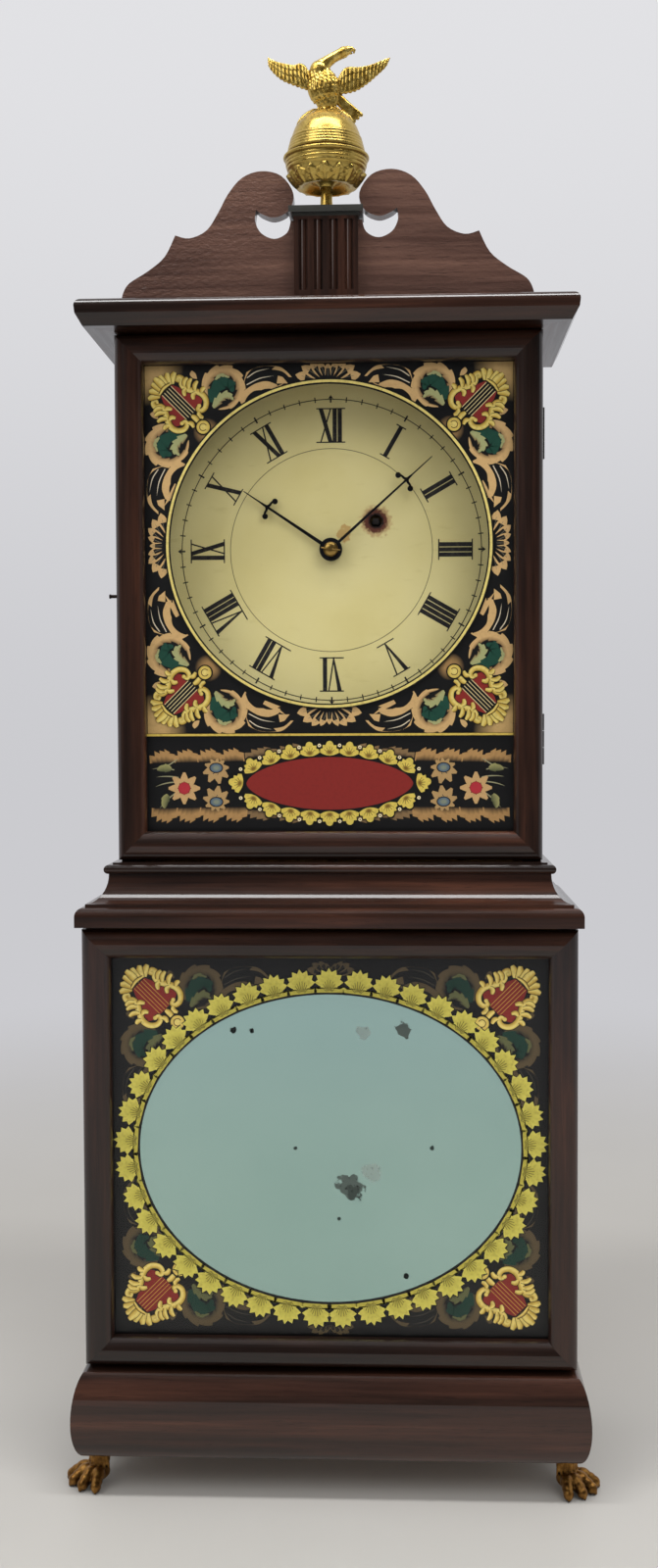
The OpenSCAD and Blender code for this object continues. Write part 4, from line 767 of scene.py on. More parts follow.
HEAVY, HAIR = 2.9, 0.95
NUMERAL_LOW, NUMERAL_HIGH = 72.2, 94.6
STROKE_GAP = 3.4
V_WIDTH, X_WIDTH = 7.4, 6.6
SERIF_OUT, SERIF_W = 2.2, 0.8
NUMERALS = ("XII", "I", "II", "III", "IIII", "V", "VI", "VII", "VIII", "IX", "X", "XI")


def numeral(art, letters):
    """Roman figures between two hairlines, drawn upward from the numeral ring's centre."""
    widths = {"I": HEAVY, "V": V_WIDTH + 1.2, "X": X_WIDTH + 1.6}
    gap = STROKE_GAP - HEAVY
    total = sum(widths[c] for c in letters) + gap * (len(letters) - 1)
    x = -total / 2
    low, high = NUMERAL_LOW, NUMERAL_HIGH

    def stroke(x0, z0, x1, z1, width):
        art.line([(x0, z0), (x1, z1)], width, DIAL_INK)
    for c in letters:
        mid = x + widths[c] / 2
        if c == "I":
            stroke(mid, low, mid, high, HEAVY)
        elif c == "V":
            left = mid - V_WIDTH / 2
            art.fill([(left - HEAVY / 2, high), (mid + 0.2, low - 0.6), (mid + 0.7, low + 2.4),
                      (left + HEAVY / 2, high)], DIAL_INK)
            stroke(mid + 0.3, low, mid + V_WIDTH / 2, high, HAIR)
        else:
            left, right = mid - X_WIDTH / 2, mid + X_WIDTH / 2
            art.fill([(left - HEAVY / 2, high), (right - HEAVY / 2, low), (right + HEAVY / 2, low),
                      (left + HEAVY / 2, high)], DIAL_INK)
            stroke(left, low, right, high, HAIR)
        x += widths[c] + gap
    for z in (low, high):
        stroke(-total / 2 - SERIF_OUT, z, total / 2 + SERIF_OUT, z, SERIF_W)


numerals = Art()
for hour, letters in enumerate(NUMERALS):
    numerals.order[0] = 0.0
    numerals.places = spun((0, 0), 1, start=90 - 30 * hour)
    numeral(numerals, letters)
numerals.piece("dial_numerals", PRINT_Y, DIAL_AT, dial_ink, "case", "dial_paint")

TRACK_R, INNER_R = 100.8, 68
track = Art()
track.line(round_line((0, 0), INNER_R, steps=180), 0.42, rgb(92, 84, 58), closed=True)
track.line(round_line((0, 0), TRACK_R, steps=240), 0.6, rgb(48, 44, 36), closed=True)
for minute in range(60):
    track.order[0] = 0.0
    track.places = spun((0, 0), 1, start=90 - 6 * minute)
    long, wide = (2.2, 1.1) if minute % 5 == 0 else (1.8, 0.75)
    track.line([(0, TRACK_R - long), (0, TRACK_R + long)], wide, DIAL_INK)
    if minute % 15 == 0:
        track.fill([(-1.9, TRACK_R + 0.2), (0, TRACK_R + 2.9), (1.9, TRACK_R + 0.2), (0, TRACK_R + 0.9)], DIAL_INK)
track.piece("minute_track", PRINT_Y, DIAL_AT, dial_ink, "case", "dial_paint")


# Upper painted glass

UPPER_LOW, UPPER_HIGH = box_mm("dial_tablet")
DOOR_SIGHT = (119.4, 431.6, 734.4)  # the opening that shows the glass: half its width, its lowest and its highest z
INSET = 0.2  # how far work ends inside the edges of a glass or an opening
TOP_PAIR, BOTTOM_PAIR = ((1, 1), (-1, 1)), ((1, -1), (-1, -1))  # corners, as signs of x and z
GOLD_LINE_Z = 494.5
RING_R = 106
RING_W, EDGE_W = 1.7, 0.9
OPENING_R = RING_R - RING_W - EDGE_W
centre_z = DIAL_AT[1]
line_z = GOLD_LINE_Z - centre_z
PAINT_Y = UPPER_HIGH.y - 0.05


def sheet_edge(low, high, mid_z):
    """The outline of a glass, just inside its edges."""
    left, right, bottom, top = low.x + INSET, high.x - INSET, low.z - mid_z + INSET, high.z - mid_z - INSET
    return [(left, bottom), (right, bottom), (right, top), (left, top)]


def held(x_limit, low, high, radius=0.0, tall=None):
    """Keeps points inside the opening of a frame and outside a circle or oval."""
    tall = tall or radius

    def keep(p):
        x, z = max(-x_limit, min(x_limit, p[0])), max(low, min(high, p[1]))
        share = math.hypot(x / radius, z / tall) if radius else 1
        return Vector((x, z)) / share if 0 < share < 1 else Vector((x, z))
    return keep


ground = Art()
ground.fill(sheet_edge(UPPER_LOW, UPPER_HIGH, centre_z), BLACK, [round_line((0, 0), OPENING_R, steps=160)])
ground.piece("upper_glass_ground", UPPER_HIGH.y - 0.02, (0, centre_z), paint, "door", "painted_glass")

upper = Tablet(held(DOOR_SIGHT[0] - INSET, line_z + 1, DOOR_SIGHT[2] - INSET - centre_z, RING_R + 0.5))
GLOW = rgb(178, 146, 92)
# The panel round the dial is taller below the ring than above it, so each pair of corners has its own half height
for half_h, quarters in ((DOOR_SIGHT[2] - centre_z, TOP_PAIR), (-line_z - 0.8, BOTTOM_PAIR)):
    upper.set_places(mirrored(DOOR_SIGHT[0], half_h, quarters), 0.0)
    upper.paint.disc((0, 0), 26, GLOW, BLACK, 36, core=0.45)
    upper.set_places(mirrored(DOOR_SIGHT[0], half_h, quarters, swap=True))
    upper.corner_leaves((0, 0), TAN, rgb(120, 92, 58), GREEN, PALE_GREEN, rgb(196, 184, 158))
    upper.set_places(mirrored(DOOR_SIGHT[0], half_h, quarters))
    upper.paint.disc((40.5, 43), 9, rgb(150, 116, 70), BLACK, 28, core=0.4)
    upper.shield((22.9, 24.7))
upper.set_places(spun((0, 0), 4, RING_R, start=90), 0.0)
upper.fan(22, 12, TAN, rgb(110, 104, 88))

ring = Tablet()
ring.paint.line(round_line((0, 0), RING_R + 0.3, steps=160), 1.2, BLACK, closed=True)
ring.gold.line(round_line((0, 0), RING_R - RING_W / 2, steps=160), RING_W, PALE_GOLD, closed=True)
ring.paint.line(round_line((0, 0), RING_R - RING_W - EDGE_W / 2, steps=160), EDGE_W, BLACK, closed=True)
ring.gold.line([(-DOOR_SIGHT[0], line_z), (DOOR_SIGHT[0], line_z)], 1.5, GOLD)

# Lower strip of the upper glass: a bare red plaque in a border of leaves and pearls, between flowers
PLAQUE_Z = 462.6 - centre_z
PLAQUE = (54.5, 17.2)
BORDER_LEAVES = 20
TUFT = flowing(((-6.3, 0.8), (-6, 3), (-4.4, 3.6), (-4.6, 5.6), (-2.6, 5.6), (-1.8, 7.6), (0, 8.4), (1.8, 7.6),
                (2.6, 5.6), (4.6, 5.6), (4.4, 3.6), (6, 3), (6.3, 0.8), (3.4, -0.6), (0, -1.2), (-3.4, -0.6)), sharp=50)
SPRIGS = (((99, 4), 12, -20), ((100, 1), 2, -26), ((101, -6), -34, -18), ((102, 9), 20, -34), ((100, 16), -40, 24))
SPRIG_TONE = rgb(140, 136, 104)
BROWN, FAR_BROWN = rgb(166, 128, 78), rgb(126, 100, 66)
BLUE_FLOWER_X, RED_FLOWER_AT = 74.3, (95.3, -3)


def pointed(half_w, half_h, steps=40):
    """An oval with a point at each end."""
    turns = [math.pi * i / steps for i in range(steps + 1)]
    top = [Vector((half_w * math.cos(a), half_h * math.sin(a) ** 1.2)) for a in turns]
    return top + [Vector((-p.x, -p.y)) for p in top[1:-1]]


strip = Tablet(held(DOOR_SIGHT[0] - INSET, DOOR_SIGHT[1] + INSET - centre_z, line_z - 0.9))
for side in (1, -1):
    strip.set_places([lambda p, side=side: Vector((side * p[0], PLAQUE_Z + p[1]))], 0.0)
    strip.leaf_row((16, 20.6), (54, 16.6), 2, 6.4, FAR_BROWN, BLACK)
    strip.leaf_row((16, -19.6), (55, -16.2), 2, -7.2, FAR_BROWN, BLACK)
    strip.leaf_row((56.5, 14.6), (117, 13.4), 4, 9, BROWN, BLACK)
    strip.leaf_row((54.5, -15.2), (116, -16), 4, -10.2, BROWN, BLACK)
    for at, heading, bend in SPRIGS:
        strip.paint.blade(path(at, heading, 15, bend), tapered(0.42, 0.3), [(-1, SPRIG_TONE), (1, SPRIG_TONE)])
    for at, heading in (((104, 9.4), 24), ((106, -7.4), -48)):
        strip.paint.blade(path(at, heading, 9.5, -50), lobed(3, 2, 0.25),
                          [(-1, rgb(70, 74, 48)), (1, rgb(150, 146, 92))])
    for z, long_side in ((10.3, -1), (-12, 1)):
        strip.petals((BLUE_FLOWER_X, z), range(18, 360, 40),
                     lambda a: 8.4 + 2.2 * long_side * math.sin(math.radians(a)), rgb(168, 136, 88), rgb(52, 58, 62))
        strip.paint.disc((BLUE_FLOWER_X, z), 4.6, BLACK, high=3.4)
        strip.paint.disc((BLUE_FLOWER_X, z), 3.9, rgb(120, 128, 110), BLUE, high=2.8, core=0.3)
    strip.petals(RED_FLOWER_AT, range(0, 360, 45), lambda a: 10.4, rgb(186, 150, 100), rgb(96, 40, 34))
    strip.paint.disc(RED_FLOWER_AT, 4.1, rgb(166, 40, 50), RED, core=0.8)
plaque_at = Vector((0, PLAQUE_Z))
strip.set_places([lambda p: p], 0.4)
strip.paint.fill([plaque_at + p for p in pointed(PLAQUE[0] + 4, PLAQUE[1] + 3.6)], BLACK)
strip.paint.fill([plaque_at + p for p in pointed(*PLAQUE)], RED)
outer_line = [plaque_at + p for p in pointed(PLAQUE[0] + 3.4, PLAQUE[1] + 2.2)]
reach, n = lengths_along([*outer_line, outer_line[0]]), len(outer_line)
for k in range(BORDER_LEAVES * 2):
    want = reach[-1] * k / (BORDER_LEAVES * 2)
    i = max(j for j in range(n) if reach[j] <= want)
    a, b = outer_line[i], outer_line[(i + 1) % n]
    at = a.lerp(b, (want - reach[i]) / (b - a).length)
    ahead = (outer_line[(i + 2) % n] - outer_line[i - 1]).normalized()
    out = Vector((ahead.y, -ahead.x))
    strip.set_places([lambda p, at=at, out=out, ahead=ahead: at + ahead * p[0] + out * p[1]], 0.5)
    if k % 2:
        strip.paint.disc((0, 5.6), 1.15, CREAM, steps=14)
        strip.paint.disc((0, 5.6), 0.45, INK, steps=10)
        continue
    strip.paint.fill([p * 1.13 for p in TUFT], BLACK)
    strip.gold.fill(TUFT, rgb(232, 208, 98))
    strip.gold.disc((0, 0.9), 2.7, rgb(134, 104, 44), rgb(226, 200, 92), high=2.0, core=0.3)
    for angle in (38, 64, 90, 116, 142):
        a = math.radians(angle)
        strip.paint.line([(1.2 * math.cos(a), 1.2 * math.sin(a)), (4.4 * math.cos(a), 4.6 * math.sin(a))], 0.3,
                         rgb(112, 84, 34))

upper.finish("upper_glass", PAINT_Y, (0, centre_z), "door", "painted_glass")
strip.finish("flower_strip", PAINT_Y, (0, centre_z), "door", "painted_glass")
ring.finish("dial_ring", PAINT_Y - 1.2, (0, centre_z), "door", "painted_glass")


# Lower glass: an oval mirror in a border of gilt leaves

LOWER_LOW, LOWER_HIGH = box_mm("mirror_tablet")
MIRROR_AT = (0, 226.8)
OVAL = (123.4, 100.6)
LOWER_SIGHT = (140.4, 104.6, 351.4)
OVAL_LEAVES = 41
MIRROR_Y = LOWER_HIGH.y - 0.05

ground = Art()
ground.fill(sheet_edge(LOWER_LOW, LOWER_HIGH, MIRROR_AT[1]), BLACK, [round_line((0, 0), *OVAL, steps=180)])
ground.piece("mirror_glass_ground", LOWER_HIGH.y - 0.02, MIRROR_AT, paint, "mirror_panel", "painted_glass")

lower = Tablet(held(LOWER_SIGHT[0] - INSET, LOWER_SIGHT[1] + INSET - MIRROR_AT[1],
                    LOWER_SIGHT[2] - INSET - MIRROR_AT[1], OVAL[0] + 1, OVAL[1] + 1))
FAINT = rgb(86, 72, 48)
for half_h, quarters in ((LOWER_SIGHT[2] - MIRROR_AT[1], TOP_PAIR), (MIRROR_AT[1] - LOWER_SIGHT[1], BOTTOM_PAIR)):
    lower.set_places(mirrored(LOWER_SIGHT[0], half_h, quarters, swap=True), 0.0)
    lower.corner_leaves((6, 5), FAINT, rgb(48, 42, 30), rgb(20, 54, 42), rgb(92, 94, 58), rgb(62, 58, 48))
    lower.set_places(mirrored(LOWER_SIGHT[0], half_h, quarters))
    lower.shield((26.2, 26.4), 1.05, RED, rgb(206, 170, 80), 0.32)
lower.set_places(spun((0, 0), 2, OVAL[0] + 14, OVAL[1] + 14, start=270), 0.0)
lower.fan(16, 5, FAINT, rgb(60, 56, 44))

border = Tablet()
border.set_places(spun((0, 0), OVAL_LEAVES, OVAL[0] + 1, OVAL[1] + 1, 90))
OLIVE = rgb(74, 70, 26)
half_leaf = ((0, 14.8), (1.5, 12.2), (4.3, 13.6), (4.5, 10.6), (7.4, 10.4), (6.4, 7.8), (8.3, 6.2), (6.3, 4.6),
             (4.6, 3.6), (6.4, 2.2), (8.4, 3.2), (8.6, 0.2))
whole = flowing(half_leaf + tuple((-x, z) for x, z in half_leaf[:0:-1]), sharp=40)
whole = [Vector((p.x * 1.12, p.y * 1.1)) for p in whole]
border.paint.fill([Vector((p.x * 1.04, (p.y - 6) * 1.1 + 6)) for p in whole], BLACK)
border.gold.add([Vector((0, 3.4)), *whole], [[0, 1 + i, 1 + (i + 1) % len(whole)] for i in range(len(whole))],
                [rgb(184, 172, 70)] + [rgb(196, 184, 78) if p.y < 2 else rgb(222, 211, 98) for p in whole])
for angle in (-58, -40, -24, -8, 8, 24, 40, 58):
    a = math.radians(90 - angle)
    short = abs(angle) / 30
    border.paint.line([(math.cos(a) * 2, math.sin(a) * 1.6),
                       (math.cos(a) * (7.2 - short), math.sin(a) * (8.8 - short))], 0.34, OLIVE)
border.set_places([lambda p: p])
border.paint.line(round_line((0, 0), OVAL[0] + 0.5, OVAL[1] + 0.5, steps=180), 1.0, BLACK, closed=True)
lower.finish("mirror_glass", MIRROR_Y, MIRROR_AT, "mirror_panel", "painted_glass")
border.finish("leaf_border", MIRROR_Y - 0.6, MIRROR_AT, "mirror_panel", "painted_glass")

GREY_PATCH, PALE_PATCH, SPECK = rgb(98, 108, 102), rgb(176, 186, 180), rgb(30, 36, 34)
# Each loss: x, z, radius, tone, how much of the silver it hides, and how ragged it is
silver = silver_mat((
    (14, 202, 8.5, GREY_PATCH, 0.9, 9), (16, 198, 5, SPECK, 0.5, 8), (27, 212, 6.5, PALE_PATCH, 0.5, 4),
    (48, 305, 5.0, GREY_PATCH, 0.95, 7), (22, 303, 4.5, PALE_PATCH, 0.5, 5), (-62, 304, 2.2, SPECK, 1, 3.5),
    (-50, 304, 2.0, SPECK, 1, 3), (49, 144, 1.5, SPECK, 1, 2.5), (6, 181, 1.1, SPECK, 0.9, 1.5),
    (66, 228, 1.6, SPECK, 0.9, 2.2), (-22, 227, 1.0, SPECK, 0.9, 1.2)))
oval = round_line((0, 0), OVAL[0] + 1.2, OVAL[1] + 1.2, steps=180)
n = len(oval)
mirror = Art()
mirror.add([Vector((0, 0)), *oval], [[0, 1 + i, 1 + (i + 1) % n] for i in range(n)], [BLACK] * (n + 1))
mirror.piece("mirror_silvering", LOWER_HIGH.y - 0.01, MIRROR_AT, silver, "mirror_panel", "silvered_glass")


# Feet: cast lion's paws, four rounded toes on each

PAW = Lumps()
TOE_REACH = 23.2
FOOT_X, FOOT_TOP = 152.8, 27.9
for z, r, out in ((26, 8.4, 0), (20, 7.2, 0.2), (15, 6.6, 0.8), (11, 7.2, 1.6), (7.5, 8.2, 2.2)):
    PAW.ball((out, out, z), r, (1, 1, 0.75))
for k in range(4):
    a = math.radians(2 + 86 * k / 3)
    ahead = Vector((math.cos(a), math.sin(a), 0))
    turn = Matrix.Rotation(a, 3, "Z")
    PAW.ball(ahead * 11 + Vector((0, 0, 8.6)), 5.0, (1.25, 0.9, 1), turn)
    PAW.ball(ahead * 15.6 + Vector((0, 0, 6.4)), 4.4, (1.15, 0.86, 1), turn)
    PAW.ball(ahead * (TOE_REACH - 4.1) + Vector((0, 0, 4.3)), 4.1, (1, 0.86, 1), turn)
    PAW.ball(ahead * (TOE_REACH - 1.6) + Vector((0, 0, 2.0)), 1.7, (1, 0.7, 1.05), turn)
for k in range(9):
    a = math.radians(-40 + 170 * k / 8)
    ahead = Vector((math.cos(a), math.sin(a), 0))
    PAW.rope([ahead * out + Vector((0, 0, z)) for out, z in ((6.4, 22), (7.2, 16), (8.6, 11))], [1.1, 1.3, 0.7])
for name, ankle_y, forward, nodes in (("front", -40.3, -1, "front_feet"), ("rear", 58.1, 1, "rear_feet")):
    for word, side in (("left", -1), ("right", 1)):
        verts = [(side * (FOOT_X + v.x), ankle_y + forward * v.y, min(FOOT_TOP, max(0.0, v.z))) for v in PAW.verts]
        faces = PAW.faces if side * forward > 0 else [f[::-1] for f in PAW.faces]
        foot = mesh_object(f"paw_foot_{name}_{word}", verts, faces, bronze, "case")
        cast(foot, 0.55, 3)
        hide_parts(nodes)


# Finial: a domed cup over a leafy lower cup, with a rim at the joint and fine rings beside it

BALL_LOW, BALL_HIGH = box_mm("finial_ball")
BALL_AT = Vector((0, (BALL_LOW.y + BALL_HIGH.y) / 2, 864.5))
PERCH_Z = BALL_HIGH.z
DOME = ((24.4, -1.2), (24.1, 1.0), (23.2, 4.5), (22.1, 8.4), (20.9, 12.0), (19.2, 15.9), (16.2, 19.8), (11.8, 23.2),
        (6.4, 25.3), (0.2, 25.9))
CUP = ((16.4, -22.4), (19.2, -20.3), (21.6, -17.4), (23.4, -14.3), (24.6, -11), (25.4, -8.2), (25.7, -5.6))
RIM = ((25.9, -5.4), (26.8, -5.0), (27.3, -4.1), (27.1, -3.2), (26.2, -2.6), (25.0, -2.4), (23.6, -2.2),
       (23.5, -1.7), (24.2, -1.4))
UNDERSIDE = ((4.1, -22.5), (4.5, -21.6), (5.6, -20.4), (7.4, -19.2), (9.6, -18.6), (12, -19.3),
             (14.2, -21.2), (15.2, -22.4))
# Turned rings: from and to which height, how many, and how far they stand out
DOME_RINGS = (-1.0, 8.6, 5, 0.42)
CUP_BANDS = (-12.4, -5.6, 3, 0.5)
LEAF_TOP = -12.6
BALL_LEAVES = 8
SIDES = 192


def along_curve(points, steps):
    """Points evenly along a smooth open curve through points."""
    fine = flowing(points, closed=False, steps=12, sharp=180)
    reach = lengths_along(fine)
    made, i = [], 0
    for k in range(steps + 1):
        want = reach[-1] * k / steps
        while i < len(fine) - 2 and reach[i + 1] < want:
            i += 1
        share = (want - reach[i]) / max(1e-9, reach[i + 1] - reach[i])
        made.append(fine[i].lerp(fine[i + 1], min(1, max(0, share))))
    return made


def beads(h, low, high, count, rise):
    """How far turned rings stand out at a height."""
    if not low < h < high:
        return 0.0
    return rise * math.sin(math.pi * ((h - low) / (high - low) * count % 1)) ** 0.6


def leaf_relief(up, turn):
    """How far a leaf stands out of the lower cup at a height share and a turn of 0 to 1 across it."""
    across = abs(turn - 0.5) * 2
    edge = 0.95 * (1 - up ** 1.7) ** 0.8 * (0.84 + 0.16 * math.cos(up * math.pi * 6))
    inside = max(0.0, min(1.0, (edge - across) / 0.16))
    rib = 0.5 * max(0.0, 1 - across / 0.14)
    veins = 0.45 * abs(math.sin((up * 2.6 - across * 1.1) * math.pi)) * min(1, across * 4)
    return inside * (1.2 + (rib - veins) + 0.5 * up * up)


rings = [(p.x, p.y, curve is CUP) for curve, steps in ((UNDERSIDE, 24), (CUP, 96), (RIM, 26), (DOME, 120))
         for p in along_curve(curve, steps)]
verts = []
for r, h, leafy in rings:
    r += beads(h, *DOME_RINGS) + (beads(h, *CUP_BANDS) if leafy else 0)
    for j in range(SIDES):
        b = TAU * j / SIDES
        lift = 0.0
        if leafy and h < LEAF_TOP:
            up = (h - CUP[0][1]) / (LEAF_TOP - CUP[0][1])
            shift = (j / SIDES * BALL_LEAVES + 0.5) % 1
            lift = max(leaf_relief(up, shift), 0.75 * leaf_relief(min(1, up * 1.08), (shift + 0.5) % 1))
        out = Vector((r, 0, h)) * (1 + lift * 0.95 / 25)
        verts.append(BALL_AT + Vector((out.x * math.cos(b), out.x * math.sin(b), max(out.z, BALL_LOW.z - BALL_AT.z))))
ball = mesh_object("finial_globe", verts, skin(len(rings), SIDES), gilt_ball, "case")
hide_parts("finial_ball")

# Leaf sprays that hang from the perch over the dome's sides
dome_line = along_curve(DOME, 60)
SPRAY = Lumps()
for azimuth in (200, 340, 20, 160):
    for turn, length in ((-34, 13), (-17, 18), (0, 21), (17, 18), (34, 13)):
        line, radii = [], []
        for i in range(9):
            t = i / 8
            at = dome_line[round(54 - t * length * 1.35)]
            around = math.radians(azimuth + turn * (0.3 + 0.5 * t))
            line.append(BALL_AT + Vector((at.x * math.cos(around), at.x * math.sin(around), at.y)))
            radii.append(0.3 + 1.0 * math.sin(math.pi * min(1, 0.08 + 0.92 * t)) ** 1.1)
        SPRAY.rope(line, radii)
sprays = mesh_object("finial_leaf_sprays", SPRAY.verts, SPRAY.faces, gilt_ball, "case")
cast(sprays, 0.3, 2)


# Bird: a full feathered body, a thick bent neck, broad spread wings and a wedge tail

EAGLE_AT = Vector((0, BALL_AT.y, PERCH_Z))
BIRD = Lumps()
BODY = ((-4.2, 25.6, 6.2), (-3.4, 21.5, 8.0), (-2.0, 17, 9.8), (-1.0, 13, 10.5), (-0.6, 9, 9.2), (0.4, 6.4, 6.6))
NECK = ((-4.2, 25.6, 6.2), (-2.0, 28.4, 4.6), (1.2, 31.0, 3.6), (4.8, 33.3, 3.1), (8.4, 35.1, 3.1), (11.6, 36.4, 3.2),
        (14.0, 37.3, 2.7))
TAIL = ((7, 9), (11.5, 4.6), (16, 0.2), (20, -3.6))
THICK, NECK_THICK = 0.62, 0.85


def bird(x, y, z):
    """A point given from the top of the ball, where the bird perches."""
    return EAGLE_AT + Vector((x, y, z))


def limb(points, radii, flat=1.0):
    """A part of the bird that follows a line."""
    BIRD.rope([bird(*p) for p in points], radii, flat)


def feathered(rows, flat, size, pitch):
    """Scale-like feathers in staggered rows over a body given by (x, z, radius) along its middle."""
    fine = along_curve([(x, z) for x, z, r in rows], 60)
    count = int(lengths_along(fine)[-1] / pitch)
    for k in range(count + 1):
        i = round(60 * k / count)
        share = k / count * (len(rows) - 1)
        a = min(len(rows) - 2, int(share))
        r = rows[a][2] + (rows[a + 1][2] - rows[a][2]) * (share - a)
        ahead = (fine[min(60, i + 1)] - fine[max(0, i - 1)]).normalized()
        side = Vector((-ahead.y, ahead.x))
        around = max(8, round(TAU * r * 0.8 / (pitch * 1.25)))
        for j in range(around):
            b = TAU * (j + 0.5 * (k % 2)) / around
            at = fine[i] + side * math.cos(b) * r * 0.96
            normal = Vector((side.x * math.cos(b), math.sin(b) / flat, side.y * math.cos(b))).normalized()
            along = Vector((ahead.x, 0, ahead.y))
            turn = Matrix((normal, normal.cross(along).normalized(), along)).transposed()
            BIRD.ball(bird(at.x, math.sin(b) * r * flat * 0.96, at.y), size, (0.5, 0.85, 1.4), turn, 6, 8)


limb([(x, 0, z) for x, z, r in BODY], [r for x, z, r in BODY], THICK)
limb([(x, -0.4 * i / 2, z) for i, (x, z, r) in enumerate(NECK)], [r for x, z, r in NECK], NECK_THICK)
feathered(BODY, THICK, 1.25, 2.1)
feathered(NECK[1:6], NECK_THICK, 0.75, 1.3)

# Head with both halves of the beak, and the eyes
BIRD.ball(bird(11.8, -1.2, 36.6), 3.3, (1.25, 0.85, 0.95))
limb([(14.2, -1.2, 37.7), (16.6, -1.3, 38.0), (18.2, -1.3, 37.0), (17.9, -1.3, 35.4)], [2.0, 1.5, 1.1, 0.5])
limb([(13.8, -1.2, 35.9), (16.2, -1.2, 35.3)], [1.3, 0.7])
for side in (-1, 1):
    BIRD.ball(bird(12.6, -1.2 + side * 2.6, 37.4), 0.75)

# Tail, legs and toes
for turn in (-0.16, 0, 0.16):
    limb([(x + turn * 14 * i / 3, 1.5 + 0.5 * i, z + turn * 12 * i / 3) for i, (x, z) in enumerate(TAIL)],
         [3.4, 2.5, 1.9, 1.3], 0.55)
for x in (-2.9, 5.6):
    limb([(x * 0.8, 0.3, 10.5), (x, 0, 6.6), (x * 1.02, 0, 3.6), (x * 1.05, 0, 1.0)], [3.6, 2.2, 1.2, 1.1], 0.9)
    for spread in (-40, 0, 40):
        a = math.radians(-90 + spread)
        limb([(x * 1.05, 0, 1.2), (x + 3.0 * math.cos(a), 3.0 * math.sin(a), 1.0),
              (x + 4.8 * math.cos(a), 4.8 * math.sin(a), -0.4)], [1.0, 0.85, 0.45])

body = mesh_object("eagle_body", BIRD.verts, BIRD.faces, gilt, "case")
cast(body, 0.32, 1)
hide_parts("eagle")


def wing(name, top, bottom, feathers, lean):
    """A broad wing between two edges that meet at the tip, with three overlapping rows of feathers on both faces."""
    spans, across = 150, 30
    upper_edge, lower_edge = along_curve(top, spans), along_curve(bottom, spans)
    verts, faces = [], []
    for face in (-1, 1):
        for i, (a, b) in enumerate(zip(upper_edge, lower_edge)):
            u = i / spans
            for j in range(across + 1):
                v = j / across
                barb = abs(math.sin(math.pi * (u * feathers - v * lean)))
                row = sum(v > edge + 0.07 * barb for edge in (0.3, 0.58))
                at = a.lerp(b, v * (1 + 0.05 * (barb - 0.6) * (v > 0.8)))
                half = 0.45 + 1.5 * (1 - u) * math.sin(math.pi * min(1, 0.15 + 0.8 * v)) + 0.3 * (2 - row)
                half *= min(1, 6 * (1 - u) + 0.15)
                relief = 0.42 * barb ** 0.6 * min(1, 8 * (1 - u)) if 0.04 < v < 0.99 else 0
                depth = 0.6 + 3.2 * u * u + face * (half * min(1, 12 * v + 0.2, 12 * (1 - v) + 0.35) + relief)
                verts.append(bird(at.x, depth, at.y))
    n, m = spans + 1, across + 1
    for face in (0, n * m):
        for i in range(spans):
            for j in range(across):
                at = face + i * m + j
                quad = [at, at + m, at + m + 1, at + 1]
                faces.append(quad if face else quad[::-1])
    rim = [*range(0, n * m, m), *range(spans * m + 1, n * m), *range(n * m - m - 1, 0, -m), *range(across - 1, 0, -1)]
    for a, b in zip(rim, rim[1:] + rim[:1]):
        faces.append([a, b, n * m + b, n * m + a])
    if top[-1][0] < 0:  # a wing to the left is laid out mirror-wise, so its faces are reversed to point outward
        faces = [f[::-1] for f in faces]
    return mesh_object(name, verts, faces, gilt, "case")


wing("eagle_wing_left",
     ((-3, 22), (-10.4, 25.5), (-13, 29), (-16.5, 30.7), (-20.8, 29.9), (-31.2, 32.5), (-37.2, 35.9)),
     ((-3, 12), (-12.6, 13.9), (-17.3, 15.6), (-22.5, 17.8), (-27.7, 20.3), (-32.9, 24.7), (-36.6, 29.9),
      (-37.2, 35.4)), 15, -2.2)
wing("eagle_wing_right",
     ((3, 18), (6.9, 20), (10.4, 25.5), (13.9, 27.7), (20.8, 27.7), (27.7, 29), (34.6, 31.6), (40.8, 34.2)),
     ((3, 10), (11.3, 10.8), (19, 12.6), (26, 16.9), (32.9, 22.9), (38.1, 28.1), (40.8, 33.8)), 16, -2.2)


# Weight cord: two straight runs and the half loop under the pulley

PULLEY_LOW, PULLEY_HIGH = box_mm("weight_pulley")
CORD_LOW, CORD_HIGH = box_mm("weight_cord")
CORD_R = 0.9
LOOP_AT = Vector(((CORD_LOW.x + CORD_HIGH.x) / 2, (CORD_LOW.y + CORD_HIGH.y) / 2,
                  (PULLEY_LOW.z + PULLEY_HIGH.z) / 2))
LOOP_R = (CORD_HIGH.x - CORD_LOW.x) / 2 - CORD_R
SEAT_Z = 576.0  # the underside of the seat board, where the cord is tied
STRAND_DEPTH, STRAND_TWIST = 0.12, 0.22 * TAU / 3
RUN_STEPS, LOOP_STEPS = 320, 48


def cord_tube(name, line, body, sides=12):
    """A cord of twisted strands along points. across_line's directions turn the faces inward, so they are reversed."""
    verts = []
    for i, (p, walked) in enumerate(zip(line, lengths_along(line))):
        side, up = across_line(line, i)
        for j in range(sides):
            b = TAU * j / sides
            r = CORD_R * (1 - STRAND_DEPTH + STRAND_DEPTH * abs(math.cos(1.5 * (b + walked * STRAND_TWIST))))
            verts.append(p + side * math.cos(b) * r + up * math.sin(b) * r)
    return mesh_object(name, verts, [f[::-1] for f in skin(len(line), sides)], cord_fibre, body)


